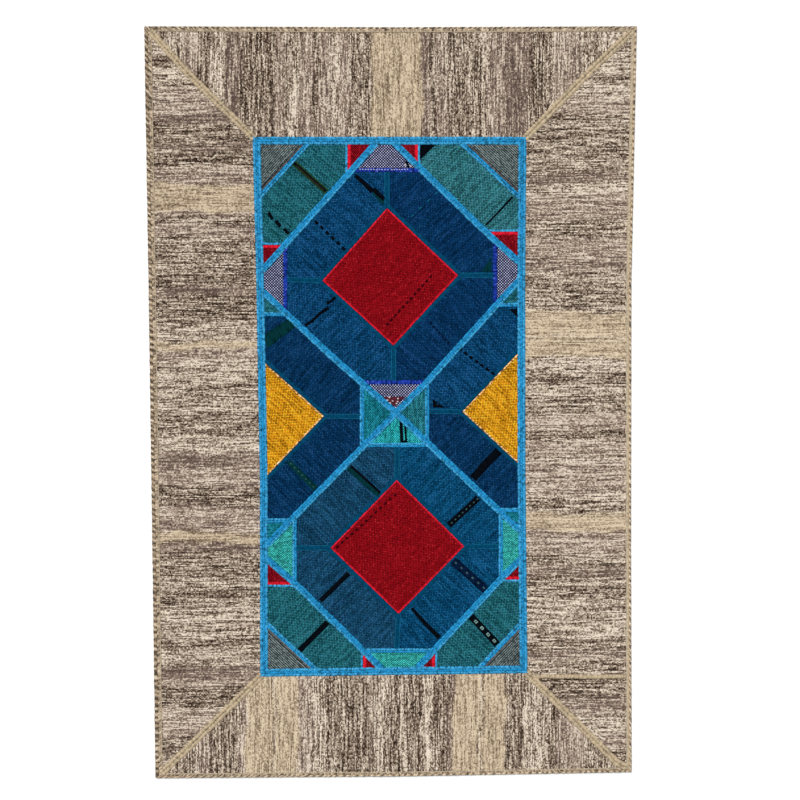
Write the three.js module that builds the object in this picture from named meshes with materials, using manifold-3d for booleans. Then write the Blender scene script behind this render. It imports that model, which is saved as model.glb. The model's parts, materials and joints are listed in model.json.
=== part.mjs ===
import * as THREE from 'three';
import { mergeVertices } from 'three/addons/utils/BufferGeometryUtils.js';
import Module from 'manifold-3d';

// A patchwork kilim rug that lies flat, cut from flat-woven cloth and sewn edge to edge with overcast yarn.
// Millimetres, +Z up. The origin is under the middle of the rug, with X across it and Y along it.

// Cloth, binding and sewing
const CLOTH_THICKNESS = 3;
const BINDING_HEIGHT = 4;
const BINDING_ROUNDING = 1.2;
const YARN_HEIGHT = 1.3;
const YARN_SLOPE = 2;
const ROW_GROOVE_DEPTH = 0.6;
const ROW_GROOVE_HALF_WIDTH = 1.5;
const GAP = 0.3;

// Points nearer than this count as one, and turns finer than this count as straight
const SAME_POINT = 1e-6;
const SAME_VERTEX = 1e-4;
const SAME_DIRECTION = 1e-4;

// Widths of the overcast seams
const FRAME_SEAM_WIDTH = 22;
const DIAGONAL_SEAM_WIDTH = 18;
const MITRE_SEAM_WIDTH = 20;
const BRANCH_SEAM_WIDTH = 11;
const CORNER_SEAM_WIDTH = 13;
const TIP_SEAM_WIDTH = 11;
const THIN_SEAM_WIDTH = 6;

// Width of the edge binding along each side
const BINDING_WIDTH = { top: 12, right: 13, bottom: 13, left: 15 };

// Outer edge of the rug, with the bends of its hand-cut sides
const EDGE_TOP = [[-655, 1000], [24, 998], [655, 1000]];
const EDGE_RIGHT = [[655, 1000], [641, 326], [640, -366], [641, -984]];
const EDGE_BOTTOM = [[641, -984], [24, -996], [-625, -1000]];
const EDGE_LEFT = [[-625, -1000], [-634, -366], [-644, 326], [-655, 1000]];

// Sides of the patchwork field, which meet the border panels
const FIELD_TOP = [[-357, 696], [350, 696]];
const FIELD_RIGHT = [[350, 696], [347, 332], [347.5, -170], [353, -710]];
const FIELD_BOTTOM = [[-337, -719], [353, -710]];
const FIELD_LEFT = [[-357, 696], [-348, 344], [-338, -204], [-337, -719]];

// Where the mitre seams of the border bend on their way to the rug's corners
const MITRE_BEND = { topLeft: [-541, 876], topRight: [529, 880], bottomRight: [600, -957], bottomLeft: [-509, -889] };
const RIGHT_PANEL_JOIN_Y = -729;

// Main diagonals of the two octagons. All four inner ones meet where the octagons touch.
const CROSSING = [14, -28];
const UPPER_NW = [atWidth(FIELD_TOP, -34), atHeight(FIELD_LEFT, 344)];
const UPPER_NE = [atWidth(FIELD_TOP, 3), [248, 457], atHeight(FIELD_RIGHT, 368)];
const UPPER_SW = [atHeight(FIELD_LEFT, 301), [-162, 127], CROSSING];
const UPPER_SE = [atHeight(FIELD_RIGHT, 332), [95.5, 53.5], CROSSING];
const LOWER_NW = [CROSSING, atHeight(FIELD_LEFT, -387)];
const LOWER_NE = [CROSSING, atHeight(FIELD_RIGHT, -347)];
const LOWER_SW = [atHeight(FIELD_LEFT, -410), [-248, -488], atWidth(FIELD_BOTTOM, -18)];
const LOWER_SE = [atHeight(FIELD_RIGHT, -412), [289, -474], atWidth(FIELD_BOTTOM, 64)];

// Cloth and yarn colours, with how rough each looks
const WOOL = { beige: 0xa89a86, teal: 0x1e6e73, grey: 0x5f6966, red: 0x960f1e, ocean: 0x0f4d6e, steel: 0x145573 };
const DYED = { navy: 0x0c3a5e, yellow: 0xdc9a1c, lilac: 0x7d6f8c, sea: 0x2da587, leaf: 0x1f8f6c, moss: 0x3f7a68 };
const COLOURS = { ...WOOL, ...DYED };
const YARN_AZURE = 0x2f9bd8;
const YARN_KHAKI = 0xb7a57f;
const YARN_BINDING = 0x8f7b5e;
const CLOTH_ROUGHNESS = 0.95;
const YARN_ROUGHNESS = 0.85;

// The four corner units: a grey triangle in the corner, a teal patch, and a red triangle at each end of it.
// greyX and redX are places along the field's end, greyY and redY are places along its flank.
const CORNER_UNITS = [
  { name: 'corner_tl', end: FIELD_TOP, flank: FIELD_LEFT, diagonal: UPPER_NW, greyX: -214, greyY: 542, redX: -118, redY: 422 },
  { name: 'corner_tr', end: FIELD_TOP, flank: FIELD_RIGHT, diagonal: UPPER_NE, greyX: 181, greyY: 540, redX: 75, redY: 457 },
  { name: 'corner_bl', end: FIELD_BOTTOM, flank: FIELD_LEFT, diagonal: LOWER_SW, greyX: -192, greyY: -582, redX: -77, redY: -488 },
  { name: 'corner_br', end: FIELD_BOTTOM, flank: FIELD_RIGHT, diagonal: LOWER_SE, greyX: 230, greyY: -583, redX: 121, redY: -474 },
];

// The two octagons. Each has a diamond, a ring of four patches round it, and four tips.
// The tips are cut off at topY, rightX, bottomY and leftX, and seamTop to seamLeft are where the ring is joined.
const OCTAGONS = [
  {
    name: 'upper',
    nw: UPPER_NW, ne: UPPER_NE, se: UPPER_SE, sw: UPPER_SW,
    topY: 618, rightX: 277.5, bottomY: 53.5, leftX: -281,
    diamond: { top: [-10, 516], right: [178, 338], bottom: [7, 152], left: [-181, 324] },
    seamTop: -10.5, seamRight: 338.5, seamBottom: 7, seamLeft: 327,
    ringCloth: 'ocean',
    tipCloth: { top: 'lilac', right: 'lilac', bottom: 'lilac', left: 'lilac' },
  },
  {
    name: 'lower',
    nw: LOWER_NW, ne: LOWER_NE, se: LOWER_SE, sw: LOWER_SW,
    topY: -113.5, rightX: 292.5, bottomY: -660, leftX: -256,
    diamond: { top: [16, -207], right: [194, -382.5], bottom: [20.5, -561.5], left: [-159.5, -387] },
    seamTop: 16.5, seamRight: -383.5, seamBottom: 15, seamLeft: -387,
    ringCloth: 'steel',
    tipCloth: { top: 'leaf', right: 'sea', bottom: 'sea', left: 'sea' },
  },
];

// The two half units that lie between the octagons, left and right of where they touch
const HALF_UNITS = [
  {
    name: 'left', flank: FIELD_LEFT, upper: UPPER_SW, lower: LOWER_NW,
    smallTopY: 234.5, yellowTopY: 113, yellowBottomY: -204, smallBottomY: -314,
    apex: [-178, -36.5], centreX: -77, joinY: -37.5, centreCloth: 'teal',
  },
  {
    name: 'right', flank: FIELD_RIGHT, upper: UPPER_SE, lower: LOWER_NE,
    smallTopY: 259.5, yellowTopY: 140.5, yellowBottomY: -170, smallBottomY: -286,
    apex: [190, -24.5], centreX: 96.5, joinY: -23.5, centreCloth: 'moss',
  },
];

// Plane geometry

// The point where a line of straight stretches passes through height y.
function atHeight(line, y) {
  return pointWhere(line, 1, y);
}

// The point where a line of straight stretches passes through width x.
function atWidth(line, x) {
  return pointWhere(line, 0, x);
}

// The first point of a line whose given coordinate (0 for x, 1 for y) has this value.
function pointWhere(line, axis, value) {
  for (let i = 0; i + 1 < line.length; i += 1) {
    const [from, to] = [line[i], line[i + 1]];
    const share = (value - from[axis]) / (to[axis] - from[axis]);
    if (share >= 0 && share <= 1) {
      return [from[0] + share * (to[0] - from[0]), from[1] + share * (to[1] - from[1])];
    }
  }
  throw new Error(`the line never reaches ${value}`);
}

// How far along a line a point on it lies.
function travelled(line, point) {
  let length = 0;
  for (let i = 0; i + 1 < line.length; i += 1) {
    const stretch = distance(line[i], line[i + 1]);
    if (distance(line[i], point) + distance(point, line[i + 1]) < stretch + SAME_POINT) {
      return length + distance(line[i], point);
    }
    length += stretch;
  }
  throw new Error('the point is not on the line');
}

function distance(a, b) {
  return Math.hypot(b[0] - a[0], b[1] - a[1]);
}

// The stretch of a line from one point on it to another, with the bends between them.
function stretchOf(line, from, to) {
  const [start, end] = [travelled(line, from), travelled(line, to)];
  const [low, high] = [Math.min(start, end), Math.max(start, end)];
  const bends = line.filter((point) => {
    const reach = travelled(line, point);
    return reach > low + SAME_POINT && reach < high - SAME_POINT;
  });
  return [from, ...(start < end ? bends : bends.reverse()), to];
}

// Joins stretches into one closed outline, drops doubled points and makes it run anticlockwise.
function outlineOf(...stretches) {
  const points = stretches.flat();
  const outline = points.filter((point, i) => distance(point, points[(i + 1) % points.length]) > SAME_POINT);
  return signedArea(outline) > 0 ? outline : outline.reverse();
}

function signedArea(outline) {
  return outline.reduce((sum, [x, y], i) => {
    const next = outline[(i + 1) % outline.length];
    return sum + (x * next[1] - next[0] * y) / 2;
  }, 0);
}

// Moves each side of an anticlockwise outline inwards by its own distance.
// widths is one number for all sides, or a list whose entry i is for the side that starts at point i.
function inset(outline, widths) {
  const count = outline.length;
  const sides = outline.map((from, i) => {
    const to = outline[(i + 1) % count];
    const length = distance(from, to);
    const inward = [-(to[1] - from[1]) / length, (to[0] - from[0]) / length];
    const width = Array.isArray(widths) ? widths[i] : widths;
    return { inward, reach: inward[0] * from[0] + inward[1] * from[1] + width, width };
  });
  return outline.map((point, i) => {
    const before = sides[(i + count - 1) % count];
    const after = sides[i];
    const turn = before.inward[0] * after.inward[1] - before.inward[1] * after.inward[0];
    if (Math.abs(turn) < SAME_DIRECTION) {
      return [point[0] + after.inward[0] * after.width, point[1] + after.inward[1] * after.width];
    }
    return [
      (before.reach * after.inward[1] - after.reach * before.inward[1]) / turn,
      (after.reach * before.inward[0] - before.reach * after.inward[0]) / turn,
    ];
  });
}

// Solids

function shapeOf(outline) {
  return new THREE.Shape(outline.map(([x, y]) => new THREE.Vector2(x, y)));
}

// A flat piece of cloth, cut half a gap inside its seam lines.
function clothGeometry(outline) {
  return new THREE.ExtrudeGeometry(shapeOf(inset(outline, GAP / 2)), { depth: CLOTH_THICKNESS, bevelEnabled: false });
}

// A strip of edge binding with its long edges rounded over.
function bindingGeometry(outline) {
  const geometry = new THREE.ExtrudeGeometry(shapeOf(inset(outline, GAP / 2)), {
    depth: BINDING_HEIGHT - 2 * BINDING_ROUNDING,
    bevelEnabled: true,
    bevelSize: BINDING_ROUNDING,
    bevelOffset: -BINDING_ROUNDING,
    bevelThickness: BINDING_ROUNDING,
    bevelSegments: 2,
  });
  return geometry.translate(0, 0, BINDING_ROUNDING);
}

const wasm = await Module();
wasm.setup();

function solidOf(geometry) {
  const bare = geometry.clone();
  bare.deleteAttribute('normal');
  bare.deleteAttribute('uv');
  const merged = mergeVertices(bare, SAME_VERTEX);
  return new wasm.Manifold(new wasm.Mesh({
    numProp: 3,
    vertProperties: new Float32Array(merged.attributes.position.array),
    triVerts: new Uint32Array(merged.index.array),
  }));
}

function geometryOf(solid) {
  const mesh = solid.getMesh();
  const geometry = new THREE.BufferGeometry();
  geometry.setAttribute('position', new THREE.BufferAttribute(new Float32Array(mesh.vertProperties), 3));
  geometry.setIndex(new THREE.BufferAttribute(new Uint32Array(mesh.triVerts), 1));
  return geometry;
}

// The section of an overcast seam, flat below and sloped at its edges. Two rows have a groove between them.
function seamSection(width, rows) {
  const half = width / 2;
  const slope = Math.min(YARN_SLOPE, width / 4);
  const groove = [
    [ROW_GROOVE_HALF_WIDTH, YARN_HEIGHT],
    [0, YARN_HEIGHT - ROW_GROOVE_DEPTH],
    [-ROW_GROOVE_HALF_WIDTH, YARN_HEIGHT],
  ];
  return shapeOf([
    [-half, 0],
    [half, 0],
    [half, YARN_HEIGHT / 2],
    [half - slope, YARN_HEIGHT],
    ...(rows === 2 ? groove : []),
    [slope - half, YARN_HEIGHT],
    [-half, YARN_HEIGHT / 2],
  ]);
}

// The section of the room a seam needs for itself, with a gap on both sides and nothing left under or over it.
function roomSection(width) {
  const half = width / 2 + GAP;
  return shapeOf([[-half, -2 * GAP], [half, -2 * GAP], [half, BINDING_HEIGHT], [-half, BINDING_HEIGHT]]);
}

// One straight stretch of seam on the cloth, run on past both ends so that stretches meet without a notch.
function seamStretch(from, to, section, runOn) {
  const length = distance(from, to) + 2 * runOn;
  const geometry = new THREE.ExtrudeGeometry(section, { depth: length, bevelEnabled: false });
  geometry.rotateX(Math.PI / 2);
  geometry.translate(0, runOn, CLOTH_THICKNESS + GAP);
  geometry.rotateZ(Math.atan2(to[1] - from[1], to[0] - from[0]) + Math.PI / 2);
  geometry.translate(from[0], from[1], 0);
  return geometry;
}

// Joins seams into one solid. Each has a path, a width, its rows and how far it runs on past its bends.
function seamSolid(seams, sectionOf) {
  const stretches = seams.flatMap(({ path, width, rows, runOn }) => (
    path.slice(1).map((to, i) => solidOf(seamStretch(path[i], to, sectionOf(width, rows), runOn)))
  ));
  return stretches.reduce((whole, stretch) => whole.add(stretch));
}

// Patches and seams of the field

const patches = [];
const blueSeams = [];

function addPatch(name, cloth, ...stretches) {
  patches.push({ name, cloth, outline: outlineOf(...stretches) });
}

function addBlueSeam(width, rows, runOn, ...path) {
  blueSeams.push({ path, width, rows, runOn });
}

for (const unit of CORNER_UNITS) {
  const { name, end, flank, diagonal } = unit;
  const corner = end.find((point) => [flank[0], flank.at(-1)].some((other) => distance(point, other) < SAME_POINT));
  const [onEnd, onFlank] = [diagonal[0], diagonal.at(-1)].sort((a, b) => Math.abs(b[1]) - Math.abs(a[1]));
  const grey = { end: atWidth(end, unit.greyX), flank: atHeight(flank, unit.greyY) };
  const redEnd = { out: atWidth(end, unit.redX), in: atWidth(diagonal, unit.redX) };
  const redSide = { out: atHeight(flank, unit.redY), in: atHeight(diagonal, unit.redY) };
  addPatch(`${name}_grey`, 'grey', [corner, grey.end, grey.flank]);
  addPatch(
    `${name}_teal`, 'teal',
    [grey.end, redEnd.out],
    stretchOf(diagonal, redEnd.in, redSide.in),
    [redSide.out, grey.flank],
  );
  addPatch(`${name}_red_end`, 'red', [redEnd.out, onEnd, redEnd.in]);
  addPatch(`${name}_red_side`, 'red', [redSide.out, redSide.in], stretchOf(diagonal, redSide.in, onFlank));
  addBlueSeam(CORNER_SEAM_WIDTH, 1, 0, grey.end, grey.flank);
  addBlueSeam(THIN_SEAM_WIDTH, 1, 0, redEnd.out, redEnd.in);
  addBlueSeam(THIN_SEAM_WIDTH, 1, 0, redSide.out, redSide.in);
}

for (const octagon of OCTAGONS) {
  const { name, nw, ne, se, sw, diamond, ringCloth, tipCloth } = octagon;
  const top = { left: atHeight(nw, octagon.topY), right: atHeight(ne, octagon.topY) };
  const bottom = { left: atHeight(sw, octagon.bottomY), right: atHeight(se, octagon.bottomY) };
  const left = { top: atWidth(nw, octagon.leftX), bottom: atWidth(sw, octagon.leftX) };
  const right = { top: atWidth(ne, octagon.rightX), bottom: atWidth(se, octagon.rightX) };
  const ring = {
    top: [octagon.seamTop, octagon.topY],
    right: [octagon.rightX, octagon.seamRight],
    bottom: [octagon.seamBottom, octagon.bottomY],
    left: [octagon.leftX, octagon.seamLeft],
  };
  addPatch(`${name}_diamond`, 'red', [diamond.top, diamond.right, diamond.bottom, diamond.left]);
  addPatch(
    `${name}_ring_nw`, ringCloth,
    stretchOf(nw, left.top, top.left),
    [ring.top, diamond.top, diamond.left, ring.left],
  );
  addPatch(
    `${name}_ring_ne`, ringCloth,
    stretchOf(ne, top.right, right.top),
    [ring.right, diamond.right, diamond.top, ring.top],
  );
  addPatch(
    `${name}_ring_se`, ringCloth,
    stretchOf(se, right.bottom, bottom.right),
    [ring.bottom, diamond.bottom, diamond.right, ring.right],
  );
  addPatch(
    `${name}_ring_sw`, ringCloth,
    stretchOf(sw, bottom.left, left.bottom),
    [ring.left, diamond.left, diamond.bottom, ring.bottom],
  );
  addPatch(`${name}_tip_top`, tipCloth.top, [nw[0], ne[0], top.right, ring.top, top.left]);
  addPatch(`${name}_tip_right`, tipCloth.right, [ne.at(-1), se[0], right.bottom, ring.right, right.top]);
  addPatch(`${name}_tip_bottom`, tipCloth.bottom, [se.at(-1), sw.at(-1), bottom.left, ring.bottom, bottom.right]);
  addPatch(`${name}_tip_left`, tipCloth.left, [sw[0], nw.at(-1), left.top, ring.left, left.bottom]);
  for (const diagonal of [nw, ne, se, sw]) {
    addBlueSeam(DIAGONAL_SEAM_WIDTH, 2, DIAGONAL_SEAM_WIDTH / 4, ...diagonal);
  }
  addBlueSeam(TIP_SEAM_WIDTH, 1, 0, top.left, top.right);
  addBlueSeam(TIP_SEAM_WIDTH, 1, 0, right.top, right.bottom);
  addBlueSeam(TIP_SEAM_WIDTH, 1, 0, bottom.left, bottom.right);
  addBlueSeam(TIP_SEAM_WIDTH, 1, 0, left.top, left.bottom);
}

for (const half of HALF_UNITS) {
  const { name, flank, upper, lower, apex } = half;
  const smallTop = { out: atHeight(flank, half.smallTopY), in: atHeight(upper, half.smallTopY) };
  const smallBottom = { out: atHeight(flank, half.smallBottomY), in: atHeight(lower, half.smallBottomY) };
  const yellow = { top: atHeight(flank, half.yellowTopY), bottom: atHeight(flank, half.yellowBottomY) };
  const centre = { top: atWidth(upper, half.centreX), bottom: atWidth(lower, half.centreX) };
  const join = [half.centreX, half.joinY];
  addPatch(`${name}_small_top`, 'leaf', [upper[0], smallTop.in, smallTop.out]);
  addPatch(
    `${name}_navy_top`, 'navy',
    stretchOf(upper, smallTop.in, centre.top),
    [join, apex, yellow.top, smallTop.out],
  );
  addPatch(`${name}_yellow`, 'yellow', [apex], stretchOf(flank, yellow.top, yellow.bottom));
  addPatch(
    `${name}_navy_bottom`, 'navy',
    [join, centre.bottom, smallBottom.in],
    stretchOf(flank, smallBottom.out, yellow.bottom),
    [apex],
  );
  addPatch(`${name}_small_bottom`, 'teal', [smallBottom.in, lower.at(-1), smallBottom.out]);
  addPatch(`${name}_centre`, half.centreCloth, stretchOf(upper, centre.top, CROSSING), [centre.bottom, join]);
  addBlueSeam(TIP_SEAM_WIDTH, 1, 0, smallTop.out, smallTop.in);
  addBlueSeam(TIP_SEAM_WIDTH, 1, 0, smallBottom.out, smallBottom.in);
  addBlueSeam(TIP_SEAM_WIDTH, 1, 0, centre.top, centre.bottom);
}

// The frame seam round the field
const fieldLoop = [...FIELD_TOP, ...FIELD_RIGHT.slice(1), FIELD_BOTTOM[0], ...FIELD_LEFT.slice(1, -1).reverse()];
addBlueSeam(FRAME_SEAM_WIDTH, 2, FRAME_SEAM_WIDTH / 2, ...fieldLoop, fieldLoop[0]);

// Edge binding and border panels

const edgeSides = { top: EDGE_TOP, right: EDGE_RIGHT, bottom: EDGE_BOTTOM, left: EDGE_LEFT };
const sideNames = Object.keys(edgeSides);
const edgeLoop = sideNames.flatMap((side) => edgeSides[side].slice(0, -1));
const edgeWidths = sideNames.flatMap((side) => edgeSides[side].slice(0, -1).map(() => BINDING_WIDTH[side]));

// The edge runs clockwise, so it is reversed for the inset and turned back afterwards.
const innerLoop = inset([...edgeLoop].reverse(), [...edgeWidths.slice(0, -1).reverse(), edgeWidths.at(-1)]).reverse();

// The inner line of the binding along one side, from corner to corner.
function innerSide(side) {
  const start = edgeLoop.indexOf(edgeSides[side][0]);
  return edgeSides[side].map((_, i) => innerLoop[(start + i) % innerLoop.length]);
}

const inner = Object.fromEntries(sideNames.map((side) => [side, innerSide(side)]));
const mitre = {
  topLeft: [inner.top[0], MITRE_BEND.topLeft, FIELD_TOP[0]],
  topRight: [inner.right[0], MITRE_BEND.topRight, FIELD_RIGHT[0]],
  bottomRight: [inner.bottom[0], MITRE_BEND.bottomRight, FIELD_RIGHT.at(-1)],
  bottomLeft: [inner.left[0], MITRE_BEND.bottomLeft, FIELD_BOTTOM[0]],
};
const joinOut = atHeight(inner.right, RIGHT_PANEL_JOIN_Y);
const joinIn = atHeight(mitre.bottomRight, RIGHT_PANEL_JOIN_Y);

addPatch('panel_top', 'beige', mitre.topLeft.toReversed(), inner.top, mitre.topRight, FIELD_TOP.toReversed());
addPatch(
  'panel_right', 'beige',
  mitre.topRight.toReversed(),
  stretchOf(inner.right, inner.right[0], joinOut),
  stretchOf(mitre.bottomRight, joinIn, FIELD_RIGHT.at(-1)),
  FIELD_RIGHT.toReversed(),
);
addPatch(
  'panel_right_corner', 'beige',
  stretchOf(inner.right, joinOut, inner.right.at(-1)),
  stretchOf(mitre.bottomRight, inner.bottom[0], joinIn),
);
addPatch('panel_bottom', 'beige', mitre.bottomRight.toReversed(), inner.bottom, mitre.bottomLeft, FIELD_BOTTOM);
addPatch('panel_left', 'beige', mitre.bottomLeft.toReversed(), inner.left, mitre.topLeft, FIELD_LEFT);

// Meshes

const rug = new THREE.Group();

function addMesh(name, geometry, color, roughness) {
  const mesh = new THREE.Mesh(geometry, new THREE.MeshStandardMaterial({ color, roughness, metalness: 0 }));
  mesh.name = name;
  rug.add(mesh);
}

for (const { name, cloth, outline } of patches) {
  addMesh(name, clothGeometry(outline), COLOURS[cloth], CLOTH_ROUGHNESS);
}

for (const side of sideNames) {
  const outline = outlineOf(edgeSides[side], inner[side].toReversed());
  addMesh(`binding_${side}`, bindingGeometry(outline), YARN_BINDING, YARN_ROUGHNESS);
}

addMesh('seam_blue_network', geometryOf(seamSolid(blueSeams, seamSection)), YARN_AZURE, YARN_ROUGHNESS);
const blueRoom = seamSolid(blueSeams, roomSection);

// The mitre seams end at the binding and at the blue frame seam.
const insideBinding = solidOf(new THREE.ExtrudeGeometry(
  shapeOf(inset(innerLoop.toReversed(), GAP)),
  { depth: 2 * BINDING_HEIGHT, bevelEnabled: false },
));

for (const [corner, path] of Object.entries(mitre)) {
  const seams = [{ path, width: MITRE_SEAM_WIDTH, rows: 2, runOn: MITRE_SEAM_WIDTH / 2 }];
  if (corner === 'bottomRight') {
    seams.push({ path: [joinIn, joinOut], width: BRANCH_SEAM_WIDTH, rows: 1, runOn: 0 });
  }
  const solid = seamSolid(seams, seamSection).intersect(insideBinding).subtract(blueRoom);
  const name = corner.replace(/[A-Z]/, (letter) => `_${letter.toLowerCase()}`);
  addMesh(`seam_mitre_${name}`, geometryOf(solid), YARN_KHAKI, YARN_ROUGHNESS);
}

export default rug;
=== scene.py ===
"""Patchwork kilim rug: flat-woven patches, overcast seams, woven marks and a bound edge, made over the packed model."""

import json
import math

import bpy
import numpy as np
from bpy.props import FloatProperty, FloatVectorProperty, PointerProperty
from bpy.types import Operator, Panel, PropertyGroup
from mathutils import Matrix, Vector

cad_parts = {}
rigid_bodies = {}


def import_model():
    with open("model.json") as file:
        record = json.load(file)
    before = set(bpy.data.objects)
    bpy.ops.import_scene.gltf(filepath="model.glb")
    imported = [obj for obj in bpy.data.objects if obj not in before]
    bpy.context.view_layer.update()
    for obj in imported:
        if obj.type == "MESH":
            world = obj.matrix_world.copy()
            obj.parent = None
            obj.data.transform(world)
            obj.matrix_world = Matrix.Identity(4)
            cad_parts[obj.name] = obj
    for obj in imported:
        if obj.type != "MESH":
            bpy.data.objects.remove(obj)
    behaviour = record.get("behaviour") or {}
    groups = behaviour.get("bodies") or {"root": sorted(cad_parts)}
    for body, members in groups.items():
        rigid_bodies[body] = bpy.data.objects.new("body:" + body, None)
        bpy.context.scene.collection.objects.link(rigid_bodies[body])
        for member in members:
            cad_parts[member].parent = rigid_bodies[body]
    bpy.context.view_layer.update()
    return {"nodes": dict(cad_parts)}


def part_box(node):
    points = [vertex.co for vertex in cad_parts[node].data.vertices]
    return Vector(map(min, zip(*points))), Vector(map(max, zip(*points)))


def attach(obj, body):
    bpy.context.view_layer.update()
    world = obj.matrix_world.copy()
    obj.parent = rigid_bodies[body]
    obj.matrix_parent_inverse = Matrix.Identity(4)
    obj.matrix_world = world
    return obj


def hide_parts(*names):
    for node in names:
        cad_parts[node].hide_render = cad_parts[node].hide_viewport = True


bl_info = {
    "name": "Patchwork kilim rug",
    "version": (1, 0, 0),
    "blender": (4, 5, 0),
    "location": "View3D > Sidebar > Kilim",
    "description": "Weaves, cuts, sews and binds the patches of a flat kilim rug",
    "category": "Object",
}

for leftover in list(bpy.data.objects):
    bpy.data.objects.remove(leftover)
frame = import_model()
CLOTH_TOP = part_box("upper_diamond")[1].z
MM = 0.001


# Colours and sizes that a user would change


def linear(*channels):
    """Turns 0 to 255 screen values into linear light: each is divided by 255 and put through the sRGB curve."""
    shares = np.array(channels) / 255
    return tuple(np.where(shares <= 0.04045, shares / 12.92, ((shares + 0.055) / 1.055) ** 2.4).tolist())


def dye(name, description, *channels):
    """A colour property whose default is given in screen values."""
    return FloatVectorProperty(
        name=name, description=description, subtype="COLOR", size=3, min=0, max=1, default=linear(*channels)
    )


def length(name, description, millimetres):
    """A length property whose default is given in millimetres."""
    return FloatProperty(name=name, description=description, default=millimetres * MM, min=0, unit="LENGTH")


class KilimCloth(PropertyGroup):
    """Sizes and dyes of the woven patches."""

    pick: length("Weft spacing", "Distance from one weft to the next", 2.9)
    warp: length("Warp spacing", "Distance from one warp to the next", 3.3)
    unevenness: length("Unevenness", "How far the cloth's surface rises and falls", 0.16)
    puff: length("Puff", "How far a patch stands proud of its own seams", 0.25)
    teal: dye("Teal wool", "Corner patches", 30, 88, 100)
    pale_teal: dye("Pale teal wool", "Top right corner patch", 45, 100, 110)
    bright_teal: dye("Bright teal wool", "Left half of the centre square and the small triangles", 24, 110, 128)
    grey: dye("Grey wool", "Ribbed triangles in the field's corners", 85, 96, 97)
    red: dye("Crimson wool", "Diamonds in the two octagons", 133, 14, 24)
    dark_red: dye("Dark red wool", "Small triangles beside the corner patches", 120, 14, 26)
    ocean: dye("Ocean wool", "Left patches of the upper octagon", 12, 61, 101)
    deep_ocean: dye("Deep ocean wool", "Right patches of the upper octagon", 10, 48, 87)
    steel: dye("Steel blue wool", "Left patches of the lower octagon", 22, 64, 95)
    bright_steel: dye("Bright steel blue wool", "Right patches of the lower octagon", 11, 67, 105)
    navy: dye("Navy wool", "Dark patches round the yellow triangles", 10, 48, 85)
    yellow: dye("Yellow wool", "Triangles at the middle of both sides", 206, 143, 28)
    lilac: dye("Lilac wool", "Light yarn of the checked tips", 214, 218, 255)
    plum: dye("Plum wool", "Dark yarn of the checked tips", 14, 14, 46)
    sea: dye("Sea green wool", "Tips of the lower octagon", 48, 146, 144)
    leaf: dye("Leaf green wool", "Bottom patch of the centre square", 35, 141, 148)
    moss: dye("Moss wool", "Right half of the centre square", 33, 104, 117)
    undyed_dark: dye("Dark undyed wool", "Darkest fibres of the border", 42, 30, 22)
    undyed_brown: dye("Brown undyed wool", "Dark stripes of the border", 104, 88, 75)
    undyed_beige: dye("Beige undyed wool", "Middle stripes of the border", 162, 145, 128)
    undyed_cream: dye("Cream undyed wool", "Light stripes of the border", 212, 196, 176)
    undyed_white: dye("White undyed wool", "Lightest fibres of the border", 234, 221, 203)


class KilimYarn(PropertyGroup):
    """Sizes and dyes of the sewing."""

    stitch: length("Stitch length", "Distance from one overcast stitch to the next", 3.7)
    height: length("Stitch height", "How far a row of stitches rises from the seam", 2.1)
    azure: dye("Azure yarn", "Middle rows of the main seams", 36, 135, 188)
    sky: dye("Sky blue yarn", "Outer rows of the main seams", 56, 148, 195)
    royal: dye("Royal blue yarn", "Edges of the lilac tips", 30, 56, 150)
    teal: dye("Teal yarn", "Lines beside the seams of the blue patches", 16, 88, 120)
    deep_teal: dye("Deep teal yarn", "Seams of the blue patches", 6, 66, 98)
    scarlet: dye("Scarlet yarn", "Edges of the red patches", 208, 26, 44)
    peach: dye("Peach yarn", "Edges of the yellow triangles", 232, 170, 92)
    khaki: dye("Khaki yarn", "Mitres of the border", 187, 168, 139)
    binding: dye("Binding yarn", "Outer row of the bound edge at the top and left", 155, 135, 112)
    light_binding: dye("Light binding yarn", "Outer row of the bound edge at the right and bottom", 187, 164, 135)
    selvedge: dye("Inner binding yarn", "Inner row of the bound edge", 168, 149, 127)
    rim: dye("Rim yarn", "Thin light thread along the binding's inner edge", 190, 173, 147)
    black: dye("Black yarn", "Woven marks", 8, 12, 18)
    ink: dye("Ink blue yarn", "Woven marks of the blue patches", 8, 24, 50)
    smoke: dye("Smoke yarn", "Small dots on the black marks", 58, 90, 94)
    mist: dye("Mist yarn", "Rings of the mark in the lower right corner", 124, 158, 153)
    cream: dye("Cream yarn", "Light dots of the lilac tips", 198, 192, 190)
    maroon: dye("Maroon yarn", "Point of the lilac tip in the centre", 84, 36, 46)
    dark_maroon: dye("Dark maroon yarn", "Dots of the red diamonds", 52, 6, 14)
    bottle: dye("Bottle green yarn", "Edges of the woven marks", 6, 48, 52)
    olive: dye("Olive yarn", "Edges of the mark in the top left corner patch", 34, 62, 34)
    tan: dye("Tan yarn", "Thin line inside the mark in the top left corner patch", 78, 62, 52)
    slate: dye("Slate yarn", "Dark line along the grey triangles", 34, 36, 38)
    taupe: dye("Taupe yarn", "Strip between that line and the seam", 88, 84, 84)
    lilac: dye("Lilac yarn", "Dots along the royal blue edges", 190, 188, 220)


class KilimStage(PropertyGroup):
    """Floor, light and camera."""

    floor: dye("Floor", "Plain pale floor", 250, 250, 249)
    camera_height: length("Camera height", "Height of the camera above the rug", 4000)
    view_width: length("View width", "Width of floor that the picture spans", 2128)
    sun: FloatProperty(name="Key light", description="Strength of the soft key light", default=3.0, min=0)
    sky: FloatProperty(name="Fill light", description="Strength of the light from all round", default=0.45, min=0)


# Outlines and seams read from the packed model


def unit(vectors):
    """Vectors divided by their own lengths."""
    return vectors / np.linalg.norm(vectors, axis=-1, keepdims=True)


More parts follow.
